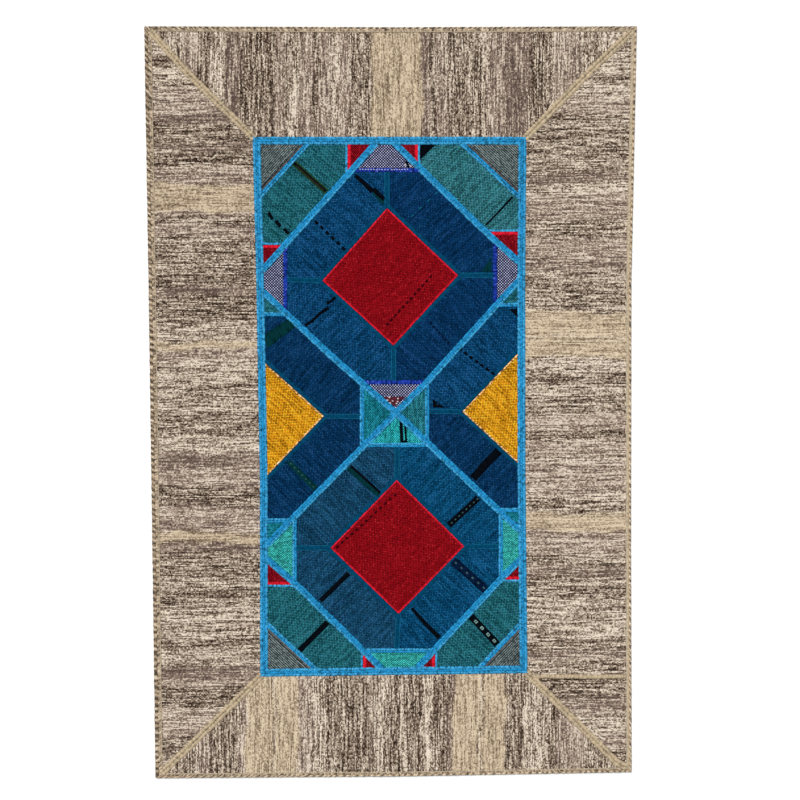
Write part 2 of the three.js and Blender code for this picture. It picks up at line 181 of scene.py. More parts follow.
def leftward(vectors):
    """Vectors turned a quarter turn to the left."""
    return np.stack([-vectors[..., 1], vectors[..., 0]], -1)


def face_corners(node, side=1):
    """Corners of a node's top or bottom face, in metres: the points at its highest or lowest z, each once."""
    mesh = frame["nodes"][node].data
    points = np.empty(len(mesh.vertices) * 3, np.float32)
    mesh.vertices.foreach_get("co", points)
    points = points.reshape(-1, 3).astype(float)
    height = points[:, 2] * side
    return np.unique(np.round(points[height > height.max() - 1e-5, :2], 6), axis=0)


def outline(node):
    """A patch's outline, counter-clockwise: the corners of its top face sorted by their angle about their mean."""
    corners = face_corners(node)
    spokes = corners - corners.mean(0)
    return corners[np.argsort(np.arctan2(spokes[:, 1], spokes[:, 0]))]


def kind(node):
    """What a patch is, which decides the yarn that it is sewn with."""
    for word in ("panel", "grey", "red", "ring", "diamond", "yellow", "navy", "centre", "small"):
        if word in node:
            return word
    if "tip" in node:
        return "lilac" if node.startswith("upper") else "green"
    return "teal"


PAIRED_SEAMS = {
    ("red", "teal"): "red_edge",
    ("ring", "ring"): "ring",
    ("diamond", "ring"): "diamond",
    ("lilac", "ring"): "royal",
    ("green", "ring"): "tip",
    ("grey", "teal"): "corner",
    ("navy", "small"): "tip",
    ("centre", "navy"): "tip",
    ("navy", "navy"): "ring",
    ("yellow", "navy"): "yellow",
}
ONE_SIDED = ("frame", "corner", "red_edge", "diamond", "royal", "yellow")
MEETING_GAP = 1.2 * MM
JOINING_GAP = 3 * MM


def seam_between(first, second):
    """Name of the seam between two patches, and whether the first one belongs on the left of it."""
    kinds = (kind(first), kind(second))
    if kinds == ("panel", "panel"):
        return ("branch" if {first, second} == {"panel_right", "panel_right_corner"} else "mitre"), True
    if "panel" in kinds:
        return "frame", kinds[1] == "panel"
    if first.split("_")[0] != second.split("_")[0] or (first.startswith("corner") and first[:9] != second[:9]):
        return "diagonal", True
    if kinds in PAIRED_SEAMS:
        return PAIRED_SEAMS[kinds], True
    return PAIRED_SEAMS.get(kinds[::-1], "tip"), False


def shared_lines(outlines):
    """Seam name, start and end of each line where two patches meet, with the patch that names it on the left.

    Two outlines meet where an edge of one runs back along an edge of the other less than 1.2 mm away. The line is
    midway between them, over their common length.
    """
    names = [name for name, corners in outlines.items() for _ in corners]
    start = np.concatenate(list(outlines.values()))
    edge = np.concatenate([np.roll(corners, -1, axis=0) - corners for corners in outlines.values()])
    size = np.linalg.norm(edge, axis=1)
    along = edge / size[:, None]
    aside = leftward(along)
    reach = start[None] - start[:, None]
    near = np.einsum("ijk,ik->ij", reach, along)
    near_off = np.einsum("ijk,ik->ij", reach, aside)
    reach_end = reach + edge[None]
    far = np.einsum("ijk,ik->ij", reach_end, along)
    far_off = np.einsum("ijk,ik->ij", reach_end, aside)
    low = np.maximum(far, 0)
    high = np.minimum(near, size[:, None])
    back = np.where(np.abs(near - far) > 1e-9, near - far, 1)
    low_off = far_off + (near_off - far_off) * (low - far) / back
    high_off = far_off + (near_off - far_off) * (high - far) / back
    meets = (along @ along.T < -0.998) & (high - low > JOINING_GAP)
    meets &= (np.abs(low_off) < MEETING_GAP) & (np.abs(high_off) < MEETING_GAP)
    lines = []
    for i, j in zip(*np.nonzero(np.triu(meets, 1))):
        if names[i] == names[j]:
            continue
        ends = [
            start[i] + along[i] * low[i, j] + aside[i] * low_off[i, j] / 2,
            start[i] + along[i] * high[i, j] + aside[i] * high_off[i, j] / 2,
        ]
        seam, in_order = seam_between(names[i], names[j])
        lines.append((seam, ends[0], ends[1]) if in_order else (seam, ends[1], ends[0]))
    return lines


def chained(lines, one_sided):
    """Joins lines end to end into paths where they go on within 3 mm.

    A path turns by up to 35 degrees from one line to the next, or by up to 102 where the seam's two sides differ.
    """
    pieces = []
    for start, end in lines:
        run = end - start
        if not one_sided and (run[1] < 0 if abs(run[1]) > 1.5 * abs(run[0]) else run[0] < 0):
            start, end = end, start
        pieces.append([start, end])
    least = math.cos(math.radians(102 if one_sided else 35))
    paths = []
    while pieces:
        path = pieces.pop(0)
        grown = True
        while grown:
            grown = False
            for at_end in (True, False):
                best = None
                for number, piece in enumerate(pieces):
                    gap = piece[0] - path[-1] if at_end else piece[-1] - path[0]
                    here = path[-1] - path[-2] if at_end else path[1] - path[0]
                    turn = float(unit(here) @ unit(piece[1] - piece[0]))
                    if np.linalg.norm(gap) < JOINING_GAP and turn > least and (best is None or turn > best[0]):
                        best = (turn, number)
                if best is None:
                    continue
                piece = pieces.pop(best[1])
                if at_end:
                    path = path[:-1] + [(path[-1] + piece[0]) / 2] + piece[1:]
                else:
                    path = piece[:-1] + [(piece[-1] + path[0]) / 2] + path[1:]
                grown = True
        closed = one_sided and len(path) > 3 and np.linalg.norm(path[0] - path[-1]) < JOINING_GAP
        if closed:
            path = [(path[0] + path[-1]) / 2] + path[1:-1]
        paths.append((np.array(path), bool(closed)))
    return paths


def distance_to(points, path, closed):
    """Distance from each point to a path: the least distance to any of its straight stretches."""
    nxt = np.roll(path, -1, axis=0) if closed else path[1:]
    start = path if closed else path[:-1]
    edge = nxt - start
    share_along = np.einsum("pek,ek->pe", points[:, None] - start[None], edge) / np.sum(edge**2, 1)
    foot = start[None] + np.clip(share_along, 0, 1)[..., None] * edge[None]
    return np.linalg.norm(points[:, None] - foot, axis=2).min(1)


# Meshes


def random_for(name):
    """A random source seeded by a piece's name, so that each run makes the same rug."""
    return np.random.default_rng(sum(ord(letter) * (place + 7) for place, letter in enumerate(name)))


def place_piece(name, points, faces, material, attribute=None, weave=None, replaces=()):
    """Puts points and faces into a mesh object that rides on the rug, with a smooth surface and crisp edges.

    attribute is a name and one 3-vector for each point, and weave gives each point its place along and across the
    wefts, in metres.
    """
    mesh = bpy.data.meshes.new(name)
    mesh.vertices.add(len(points))
    mesh.vertices.foreach_set("co", points.astype(np.float32).ravel())
    loops = np.concatenate([part.ravel() for part in faces])
    sizes = np.concatenate([np.full(len(part), part.shape[1]) for part in faces])
    mesh.loops.add(len(loops))
    mesh.loops.foreach_set("vertex_index", loops.astype(np.int32))
    mesh.polygons.add(len(sizes))
    mesh.polygons.foreach_set("loop_start", np.concatenate([[0], np.cumsum(sizes)[:-1]]).astype(np.int32))
    mesh.update(calc_edges=True)
    mesh.polygons.foreach_set("use_smooth", np.ones(len(sizes), bool))
    mesh.set_sharp_from_angle(angle=math.radians(50))
    if attribute:
        layer = mesh.attributes.new(attribute[0], "FLOAT_VECTOR", "POINT")
        layer.data.foreach_set("vector", attribute[1].astype(np.float32).ravel())
    if weave is not None:
        mesh.uv_layers.new(name="weave").uv.foreach_set("vector", weave[loops].astype(np.float32).ravel())
    mesh.materials.append(material)
    piece = bpy.data.objects.new(name, mesh)
    bpy.context.scene.collection.objects.link(piece)
    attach(piece, "root")
    if replaces:
        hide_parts(*replaces)
    return piece


def rolling(x, y):
    """Gentle unevenness of cloth on a floor, from -1 to 1: a sum of five slow waves that run different ways."""
    waves = [(9.1, 3.7, 0.4), (-5.3, 12.9, 2.1), (17.7, -8.3, 4.0), (4.1, 23.9, 1.1), (-29.3, 15.1, 5.2)]
    return sum(np.sin(a * x + b * y + c) for a, b, c in waves) / len(waves)


def chords(corners, levels):
    """Left and right end of an outline at each level: the least and greatest x where its edges cross that y."""
    nxt = np.roll(corners, -1, axis=0)
    rise = nxt[:, 1] - corners[:, 1]
    flat = np.abs(rise) < 1e-9
    part = (levels[:, None] - corners[None, :, 1]) / np.where(flat, 1, rise)[None]
    on_edge = (part > -1e-7) & (part < 1 + 1e-7) & ~flat[None]
    cut = corners[None, :, 0] + np.clip(part, 0, 1) * (nxt[:, 0] - corners[:, 0])[None]
    left = np.where(on_edge, cut, np.inf).min(1)
    right = np.where(on_edge, cut, -np.inf).max(1)
    at_corner = np.abs(levels[:, None] - corners[None, :, 1]) < 1e-7
    left = np.minimum(left, np.where(at_corner, corners[None, :, 0], np.inf).min(1))
    right = np.maximum(right, np.where(at_corner, corners[None, :, 0], -np.inf).max(1))
    return left, right


def woven_sheet(corners, angle, settings, level_step, chord_step, stripe=None):
    """A flat piece of cloth with woven threads: points, triangles, weave coordinates and an attribute.

    Its surface is a function of the level, which runs across the wefts, and the place along the weft. Each level is a
    straight chord of the outline, cut in equal parts. Its height is the cloth's thickness, plus slow waves, plus a
    puff that rises with the distance from the seams. The underside is flat on the floor, with a wall all round.
    """
    along = np.array([math.cos(angle), math.sin(angle)])
    turned = np.stack([corners @ along, corners @ leftward(along)], 1)
    marks = np.unique(np.round(turned[:, 1], 7))
    spans = [np.linspace(a, b, max(2, math.ceil((b - a) / level_step) + 1)) for a, b in zip(marks, marks[1:])]
    levels = np.unique(np.round(np.concatenate(spans), 7))
    left, right = chords(turned, levels)
    columns = math.ceil((right - left).max() / chord_step) + 1
    u = left[:, None] + (right - left)[:, None] * np.linspace(0, 1, columns)
    v = np.broadcast_to(levels[:, None], u.shape)
    x, y = (u[..., None] * along + v[..., None] * leftward(along)).transpose(2, 0, 1)
    to_seam = distance_to(np.stack([x.ravel(), y.ravel()], 1), corners, True).reshape(x.shape)
    puff = settings.puff * (1 - np.exp(-to_seam / (9 * MM)))
    z = CLOTH_TOP + settings.unevenness * rolling(x, y) + puff
    top = np.stack([x, y, z], -1).reshape(-1, 3)
    points = np.concatenate([top, top * [1, 1, 0]])
    upper = np.arange(u.size).reshape(u.shape)
    lower = upper + u.size

    def strips(*sides):
        return np.stack(sides, -1).reshape(-1, 4)

    quads = np.concatenate(
        [
            strips(upper[:-1, :-1], upper[:-1, 1:], upper[1:, 1:], upper[1:, :-1]),
            strips(lower[:-1, :-1], lower[1:, :-1], lower[1:, 1:], lower[:-1, 1:]),
            strips(upper[:-1, 0], upper[1:, 0], lower[1:, 0], lower[:-1, 0]),
            strips(upper[:-1, -1], lower[:-1, -1], lower[1:, -1], upper[1:, -1]),
            strips(upper[0, :-1], lower[0, :-1], lower[0, 1:], upper[0, 1:]),
            strips(upper[-1, :-1], upper[-1, 1:], lower[-1, 1:], lower[-1, :-1]),
        ]
    )
    keys, first, number = np.unique(np.round(points, 7), axis=0, return_index=True, return_inverse=True)
    quads = number.reshape(-1)[quads]
    triangles = np.concatenate([quads[:, [0, 1, 2]], quads[:, [0, 2, 3]]])
    a, b, c = triangles.T
    triangles = triangles[(a != b) & (b != c) & (a != c)]
    points = points[first]
    place = np.tile(np.stack([u.ravel(), v.ravel()], 1), (2, 1))[first]
    values = np.tile(stripe(u, v).reshape(-1, 3), (2, 1))[first] if stripe else None
    size = (float(right.max() - left.min()), float(levels[-1] - levels[0]))
    return points, triangles, place, values, size


ACROSS = np.array([-1, -0.55, 0.55, 1])
ARCH = np.array([0, 1, 1, 0])


def stitches(left, right, closed, settings, seed, height=1.0, depth=0.45, base=None, beat=0, slant=0.3, uneven=1.0):
    """A row of overcast stitches between two edge lines: its points and, for each, across, ridge and tone.

    It is a profile carried along a path. The profile is a low arch from edge to edge. Along the path its height
    swells and sinks once a stitch, as the absolute sine of the distance over the stitch length, leaning with the
    stitches' slant. Each stitch has its own width and tone.
    """
    source = random_for(seed)
    centre = (left + right) / 2
    if closed:
        left, right, centre = (np.concatenate([line, line[:1]]) for line in (left, right, centre))
    steps = np.linalg.norm(np.diff(centre, axis=0), axis=1)
    along = np.concatenate([[0], np.cumsum(steps)])
    count = max(2, round(along[-1] / settings.stitch))
    sample = np.linspace(0, along[-1], count * 4 + 1)
    if closed:
        sample = sample[:-1]
    edges = [np.stack([np.interp(sample, along, line[:, k]) for k in (0, 1)], 1) for line in (left, right)]
    phase = sample[:, None] / along[-1] * count + slant * ACROSS
    ridge = np.abs(np.sin(math.pi * phase)) ** 0.7
    lane = np.broadcast_to(np.arange(4) // 2, phase.shape)
    turn = np.floor(phase).astype(int) % count
    tone = source.uniform(0, 1, (count, 2))
    if beat:
        swing = np.arange(count) * settings.stitch / beat + np.cumsum(source.normal(0, 0.09, count))
        tone = 0.3 * tone + 0.7 * (0.5 + 0.5 * np.tanh(3 * np.sin(2 * math.pi * swing)))[:, None]
    spread = 0.59 * (1 + 0.07 * uneven * source.standard_normal(count))[turn]
    swell = (1 + 0.1 * uneven * source.standard_normal(count))[turn]
    flat = edges[0][:, None] + (edges[1] - edges[0])[:, None] * (0.5 + spread * ACROSS)[..., None]
    foot = CLOTH_TOP - 0.25 * MM if base is None else base
    z = foot + settings.height * height * ARCH * (1 - depth + depth * ridge) * swell
    points = np.concatenate([flat, z[..., None]], 2)
    # Across and ridge also drive the yarn material's painted highlight on crests and its painted shade between stitches
    # and at the row's sides.
    values = np.stack([np.broadcast_to(ACROSS, phase.shape), ridge, tone[turn, lane]], 2)
    return points, values, closed


def beside(path, closed, offset, width):
    """Left and right edge of a row: the path moved to its left by the offset and half the width, corners mitred."""
    run = unit((np.roll(path, -1, axis=0) if closed else path[1:]) - (path if closed else path[:-1]))
    before = np.roll(run, 1, axis=0) if closed else np.concatenate([run[:1], run])
    after = run if closed else np.concatenate([run, run[-1:]])
    mean = unit(before + after)
    slide = leftward(mean) / np.sum(mean * after, 1)[:, None]
    half = np.broadcast_to(np.asarray(width, float) / 2, (len(path),) if np.ndim(width) else ())
    half = np.reshape(half, (-1, 1))
    return path + slide * (offset + half), path + slide * (offset - half)


def trimmed(path, start, end):
    """A path with lengths cut off at its ends, or added where they are negative."""
    path = path.copy()
    path[0] += unit(path[1] - path[0]) * start
    path[-1] += unit(path[-2] - path[-1]) * end
    return path


def sew(name, rows, material, replaces=()):
    """Joins rows of stitches into one piece, with walls between neighbouring profiles and a fan on each end."""
    points, values, quads, fans, offset = [], [], [], [], 0
    for place, value, closed in rows:
        count, ring = place.shape[:2]
        index = offset + np.arange(count * ring).reshape(count, ring)
        here = index if closed else index[:-1]
        ahead = np.roll(index, -1, axis=0) if closed else index[1:]
        quads.append(np.stack([here, np.roll(here, -1, 1), np.roll(ahead, -1, 1), ahead], -1).reshape(-1, 4))
        if not closed:
            step = np.arange(1, ring - 1)
            first, last = index[0], index[-1]
            fans.append(np.stack([np.full(ring - 2, first[0]), first[step + 1], first[step]], 1))
            fans.append(np.stack([np.full(ring - 2, last[0]), last[step], last[step + 1]], 1))
        points.append(place.reshape(-1, 3))
        values.append(value.reshape(-1, 3))
        offset += count * ring
    faces = [np.concatenate(quads)] + ([np.concatenate(fans)] if fans else [])
    return place_piece(
        name, np.concatenate(points), faces, material, ("yarn", np.concatenate(values)), replaces=replaces
    )


# Materials


class Recipe:
    """Adds nodes to a node tree, with each input either a value or another node's output."""

    def __init__(self, tree):
        self.tree = tree

    def put(self, socket, value):
        """Sets an input to a value, or links it to another node's output."""
        if isinstance(value, bpy.types.NodeSocket):
            self.tree.links.new(value, socket)
        else:
            socket.default_value = value

    def node(self, form, inputs=None, **settings):
        made = self.tree.nodes.new(form)
        for name, value in settings.items():
            setattr(made, name, value)
        for name, value in (inputs or {}).items():
            self.put(made.inputs[name], value)
        return made

    def sum(self, operation, first, second=0.0, third=0.0, clamp=False):
        node = self.node("ShaderNodeMath", {0: first, 1: second, 2: third}, operation=operation, use_clamp=clamp)
        return node.outputs[0]

    def tone(self, start, *parts):
        """Adds up centred parts: each is a source that runs from 0 to 1, and its weight."""
        for source, weight in parts:
            start = self.sum("ADD", start, self.sum("MULTIPLY_ADD", source, weight, -weight / 2))
        return self.sum("ADD", start, 0.0, clamp=True)

    def split(self, vector):
        return self.node("ShaderNodeSeparateXYZ", {0: vector}).outputs

    def vector(self, x, y, z=0.0):
        return self.node("ShaderNodeCombineXYZ", {0: x, 1: y, 2: z}).outputs[0]

    def noise(self, vector, scale=1.0, detail=2.0, roughness=0.5):
        settings = {"Vector": vector, "Scale": scale, "Detail": detail, "Roughness": roughness}
        return self.node("ShaderNodeTexNoise", settings, noise_dimensions="3D").outputs[0]

    def white(self, vector):
        return self.node("ShaderNodeTexWhiteNoise", {"Vector": vector}, noise_dimensions="3D").outputs[0]

    def ramp(self, factor, *stops):
        node = self.node("ShaderNodeValToRGB", {0: factor})
        band = node.color_ramp
        while len(band.elements) < len(stops):
            band.elements.new(0.5)
        for element, (place, colour) in zip(band.elements, stops):
            element.position = place
            element.color = (*colour, 1)
        return node.outputs[0]

    def blend(self, factor, first, second, mode="MIX"):
        made = self.node("ShaderNodeMix", {0: factor}, data_type="RGBA", blend_type=mode)
        for name, value in ((6, first), (7, second)):
            self.put(made.inputs[name], value if isinstance(value, bpy.types.NodeSocket) else (*value, 1))
        return made.outputs[2]

    def use(self, group, **inputs):
        made = self.node("ShaderNodeGroup", node_tree=group)
        for name, value in inputs.items():
            self.put(made.inputs[name.replace("_", " ").capitalize()], value)
        return made.outputs

    def weave(self, **values):
        """The flat weave at the piece's own place along and across its wefts."""
        place = self.node("ShaderNodeUVMap", uv_map="weave").outputs[0]
        return self.use(flat_weave(), place=place, **values)


def node_group(name, inputs, outputs):
    """An empty node group with named inputs and outputs, and its recipe, its input sockets and its output node."""
    tree = bpy.data.node_groups.new(name, "ShaderNodeTree")
    for label, (form, value) in inputs.items():
        socket = tree.interface.new_socket(label, in_out="INPUT", socket_type=f"NodeSocket{form}")
        if value is not None:
            socket.default_value = value
    for label in outputs:
        tree.interface.new_socket(label, in_out="OUTPUT", socket_type="NodeSocketFloat")
    recipe = Recipe(tree)
    return recipe, recipe.node("NodeGroupInput").outputs, recipe.node("NodeGroupOutput").inputs


def flat_weave():
    """Shared effect of plain woven wool.

    The weave's place over the pick and warp spacing gives rows of beads, and wave bends the rows by a slow noise.
    Grain is a random value for each bead, thread one for each stretch of a weft, streak a noise drawn out along the
    wefts, blotch a slow noise, and relief the height of a bead, round along and across. Check is 1 and -1 by turns
    along the wefts and from row to row.
    """
    if "Flat weave" in bpy.data.node_groups:
        return bpy.data.node_groups["Flat weave"]
    recipe, given, result = node_group(
        "Flat weave",
        {
            "Place": ("Vector", None),
            "Pick": ("Float", 0.003),
            "Warp": ("Float", 0.004),
            "Stretch": ("Float", 0.06),
            "Wave": ("Float", 0.0),
            "Seed": ("Float", 0.0),
        },
        ("Grain", "Thread", "Streak", "Blotch", "Check", "Relief"),
    )
    seed = given["Seed"]
    along, across, _ = recipe.split(given["Place"])
    bend = recipe.vector(recipe.sum("MULTIPLY", along, 9.0), recipe.sum("MULTIPLY", across, 4.0), seed)
    across = recipe.sum("MULTIPLY_ADD", recipe.sum("SUBTRACT", recipe.noise(bend), 0.5), given["Wave"], across)
    row = recipe.sum("DIVIDE", across, given["Pick"])
    row_number = recipe.sum("FLOOR", row)
    bead = recipe.sum("DIVIDE", along, given["Warp"])
    bead_number = recipe.sum("FLOOR", bead)
    recipe.put(result["Grain"], recipe.white(recipe.vector(bead_number, row_number, seed)))
    shift = recipe.sum("MULTIPLY", recipe.white(recipe.vector(row_number, seed, 3.0)), 9.0)
    part = recipe.sum("FLOOR", recipe.sum("ADD", recipe.sum("DIVIDE", along, given["Stretch"]), shift))
    recipe.put(result["Thread"], recipe.white(recipe.vector(part, row_number, seed)))
    drawn = recipe.vector(
        recipe.sum("DIVIDE", along, given["Stretch"]),
        recipe.sum("DIVIDE", across, recipe.sum("MULTIPLY", given["Pick"], 1.3)),
        seed,
    )
    recipe.put(result["Streak"], recipe.noise(drawn, 1.0, 2.0, 0.6))
    slow = recipe.vector(recipe.sum("MULTIPLY", along, 14.0), recipe.sum("MULTIPLY", across, 26.0), seed)
    recipe.put(result["Blotch"], recipe.noise(slow, 1.0, 2.0, 0.5))
    plain = recipe.sum("FLOORED_MODULO", recipe.sum("ADD", bead_number, row_number), 2.0)
    recipe.put(result["Check"], recipe.sum("MULTIPLY_ADD", plain, 2.0, -1.0))
    turn = recipe.sum("SINE", recipe.sum("MULTIPLY", recipe.sum("FRACT", bead), math.pi))
    rise = recipe.sum("SINE", recipe.sum("MULTIPLY", recipe.sum("FRACT", row), math.pi))
    relief = recipe.sum("MULTIPLY", recipe.sum("POWER", turn, 0.5), recipe.sum("POWER", rise, 0.6))
    recipe.put(result["Relief"], relief)
    return recipe.tree


def wool_finish(name, build, roughness):
    """A matt wool material: build gives its colour and its relief, and the relief feeds a bump of the given height."""
    material = bpy.data.materials.new(name)
    material.use_nodes = True
    recipe = Recipe(material.node_tree)
    shader = material.node_tree.nodes["Principled BSDF"]
    shader.inputs["Roughness"].default_value = roughness
    shader.inputs["Specular IOR Level"].default_value = 0.0
    colour, relief, rise = build(recipe)
    bump = recipe.node("ShaderNodeBump", {"Height": relief, "Distance": rise, "Strength": 1.0})
    recipe.put(shader.inputs["Base Color"], colour)
    recipe.put(shader.inputs["Normal"], bump.outputs[0])
    return material


def times(colour, factor, pale=0.0):
    """A colour made darker or lighter by a factor, and moved towards pale wool by a share."""
    colour = np.clip(np.array(colour) * factor, 0, 1)
    return tuple((colour + (np.array(linear(225, 228, 220)) - colour) * pale).tolist())


def dyed_cloth(name, colour, cloth, contrast, streaks, seed):
    """Cloth of one dye.

    Check, grain, thread, streak, blotch and relief add up to a tone, which picks a dark, middle or light shade of the
    dye, and a few single beads are lighter. The relief term is painted shade: each bead's top is lighter and the gaps
    between beads darker. A second streak turns the hue of some wefts a little: blues and greens towards green, red and
    yellow towards brown.
    """
    cast_colour = (0.85, 1.1, 0.96) if colour[2] > colour[0] else (0.97, 0.86, 0.75)

    def build(recipe):
        weave = recipe.weave(pick=cloth.pick, warp=cloth.warp, stretch=0.03, seed=seed)
        cast = recipe.weave(pick=6 * MM, warp=0.03, stretch=0.05, seed=seed + 0.5)
        amount = recipe.sum("MULTIPLY_ADD", weave["Grain"], 0.42 * contrast, 0.06 * contrast)
        bright = recipe.sum("MULTIPLY_ADD", weave["Grain"], 12.0, -11.2, clamp=True)
        start = recipe.sum("MULTIPLY_ADD", weave["Check"], amount, recipe.sum("MULTIPLY_ADD", bright, 0.35, 0.45))
        tone = recipe.tone(
            start,
            (weave["Thread"], 0.4 * contrast * streaks),
            (weave["Streak"], 0.3 * contrast * streaks),
            (weave["Blotch"], 0.36 * streaks),
            # Painted shade: bead tops lighter, the gaps between beads darker.
            (weave["Relief"], 0.1),
        )
        shade = recipe.ramp(
            tone,
            (0.0, times(colour, 0.12)),
            (0.45, times(colour, 0.82)),
            (0.85, times(colour, 1.6)),
            (1.0, times(colour, 2.2, 0.012)),
        )
        hue = recipe.blend(recipe.sum("MULTIPLY_ADD", cast["Streak"], 2.2, -0.8, clamp=True), (1, 1, 1), cast_colour)
        return recipe.blend(1.0, shade, hue, "MULTIPLY"), weave["Relief"], 0.25 * MM

    return wool_finish(name, build, 0.95)


def ribbed_cloth(name, colour, cloth):
    """Grey ribbed cloth: light and dark ribs across the wefts, as a sine of 4.9 mm, with the yarn's own grain."""

    def build(recipe):
        place = recipe.node("ShaderNodeUVMap", uv_map="weave").outputs[0]
        weave = recipe.use(flat_weave(), place=place, pick=2.2 * MM, warp=cloth.warp, stretch=0.02, seed=3.0)
        _, across, _ = recipe.split(place)
        rib = recipe.sum("SINE", recipe.sum("MULTIPLY", across, 2 * math.pi / (4.9 * MM)))
        start = recipe.sum("MULTIPLY_ADD", rib, 0.46, 0.45)
        tone = recipe.tone(start, (weave["Grain"], 0.75), (weave["Thread"], 0.4), (weave["Blotch"], 0.4))
        shade = recipe.ramp(
            tone,
            (0.0, times(colour, 0.1)),
            (0.5, times(colour, 0.8)),
            (0.85, times(colour, 1.8)),
            (1.0, times(colour, 2.2, 0.1)),
        )
        return shade, rib, 0.3 * MM

    return wool_finish(name, build, 0.95)


def checked_cloth(name, light, dark):
    """Lilac and plum check: in squares of 3.7 mm, every second one holds a round light dot, of uneven strength."""

    def build(recipe):
        weave = recipe.weave(pick=3.7 * MM, warp=3.7 * MM, stretch=0.03, seed=5.0)
        dot = recipe.sum("MULTIPLY_ADD", weave["Relief"], 6.0, -3.2, clamp=True)
        dot = recipe.sum("MULTIPLY", dot, recipe.sum("MULTIPLY_ADD", weave["Check"], 0.5, 0.5))
        strength = recipe.tone(0.85, (weave["Grain"], 0.7), (weave["Blotch"], 0.9), (weave["Streak"], 0.4))
        return recipe.blend(recipe.sum("MULTIPLY", dot, strength), dark, light), weave["Relief"], 0.5 * MM

    return wool_finish(name, build, 0.95)


def heathered_wool(name, cloth):
    """Undyed border wool.

    The stripe attribute gives each point its tone, blush and straw. Single threads, short dashes, single beads and the
    beads' relief are added to the tone, less so in the straw stripes, and it then runs through dark, brown, beige and
    cream wool. The relief term is painted shade: bead tops lighter, the gaps between beads darker. Blush moves it
    towards pink, and straw towards yellow.
    """

    def build(recipe):
        weave = recipe.weave(pick=3.0 * MM, warp=3.5 * MM, stretch=0.11, wave=14 * MM, seed=1.0)
        dashes = recipe.weave(pick=2.7 * MM, warp=5.6 * MM, stretch=0.04, wave=9 * MM, seed=2.0)
        stripe = recipe.node("ShaderNodeAttribute", attribute_name="stripe")
        tone, blush, straw = recipe.split(stripe.outputs["Vector"])
        start = recipe.sum("MULTIPLY_ADD", tone, 0.5, 0.22)
        full = recipe.tone(
            start,
            (weave["Grain"], 0.62),
            (weave["Thread"], 0.4),
            (dashes["Thread"], 0.46),
            (dashes["Grain"], 0.34),
            # Painted shade: bead tops lighter, the gaps between beads darker.
            (weave["Relief"], 0.1),
        )
        calm = recipe.sum("MULTIPLY_ADD", straw, -0.4, 1.0)
        tone = recipe.sum("MULTIPLY_ADD", recipe.sum("SUBTRACT", full, start), calm, start)
        shade = recipe.ramp(
            tone,
            (0.0, cloth.undyed_dark),
            (0.3, cloth.undyed_brown),
            (0.56, cloth.undyed_beige),
            (0.8, cloth.undyed_cream),
            (1.0, cloth.undyed_white),
        )
        shade = recipe.blend(recipe.sum("MULTIPLY", blush, 0.16), shade, linear(176, 150, 142))
        warm = recipe.blend(recipe.sum("MULTIPLY", straw, 0.8), (1, 1, 1), (1, 0.955, 0.82))
        shade = recipe.blend(1.0, shade, warm, "MULTIPLY")
        return shade, weave["Relief"], 0.3 * MM

    return wool_finish(name, build, 0.95)


def yarn_effect():
    """Shared effect of overcast yarn: tone from the stitch's own tone, its ridge, its sides and fine fibres.
    The ridge and side terms are painted light: a painted highlight on each stitch's crest, and painted shade in the
    dips between stitches and along the row's sides.
    """
    if "Overcast yarn" in bpy.data.node_groups:
        return bpy.data.node_groups["Overcast yarn"]
    recipe, given, result = node_group(
        "Overcast yarn",
        {"Row": ("Vector", None), "Place": ("Vector", None), "Contrast": ("Float", 1.0)},
        ("Tone", "Fibres"),
    )
    across, ridge, tone = recipe.split(given["Row"])
    fibres = recipe.noise(given["Place"], 700.0, 2.0, 0.6)
    shaded_tone = recipe.sum("MULTIPLY_ADD", recipe.sum("SUBTRACT", tone, 0.5), given["Contrast"], 0.5)
    # Painted light: each stitch's crest is made lighter and the dips between stitches darker.
    shaded_tone = recipe.sum("ADD", shaded_tone, recipe.sum("MULTIPLY_ADD", ridge, 0.3, -0.2))
    # Painted shade: the row darkens towards its sides, where the stitch slopes down into the cloth.
    side = recipe.sum("POWER", recipe.sum("ABSOLUTE", across), 3.0)
    shaded_tone = recipe.sum("ADD", shaded_tone, recipe.sum("MULTIPLY", side, -0.45))
    shaded_tone = recipe.sum("ADD", shaded_tone, recipe.sum("MULTIPLY_ADD", fibres, 0.4, -0.2), clamp=True)
    recipe.put(result["Tone"], shaded_tone)
    recipe.put(result["Fibres"], fibres)
    return recipe.tree


def overcast_yarn(name, colour, contrast, fleck):
    """Overcast wool yarn of one dye, in dark, middle and light shades picked by the yarn's tone, with pale flecks.
    The tone holds painted light: a painted highlight on each stitch's crest, and painted shade between stitches and
    along the row's sides.
    """

    def build(recipe):
        row = recipe.node("ShaderNodeAttribute", attribute_name="yarn").outputs["Vector"]
        place = recipe.node("ShaderNodeTexCoord").outputs["Object"]
        yarn = recipe.use(yarn_effect(), row=row, place=place, contrast=contrast)
        shade = recipe.ramp(
            yarn["Tone"],
            (0.0, times(colour, 0.2)),
            (0.42, times(colour, 0.9)),
            (0.88, times(colour, 1.35)),
            (1.0, fleck),
        )
        return shade, yarn["Fibres"], 0.3 * MM

    return wool_finish(name, build, 0.9)


# The rug's patches, stripes, seams and marks


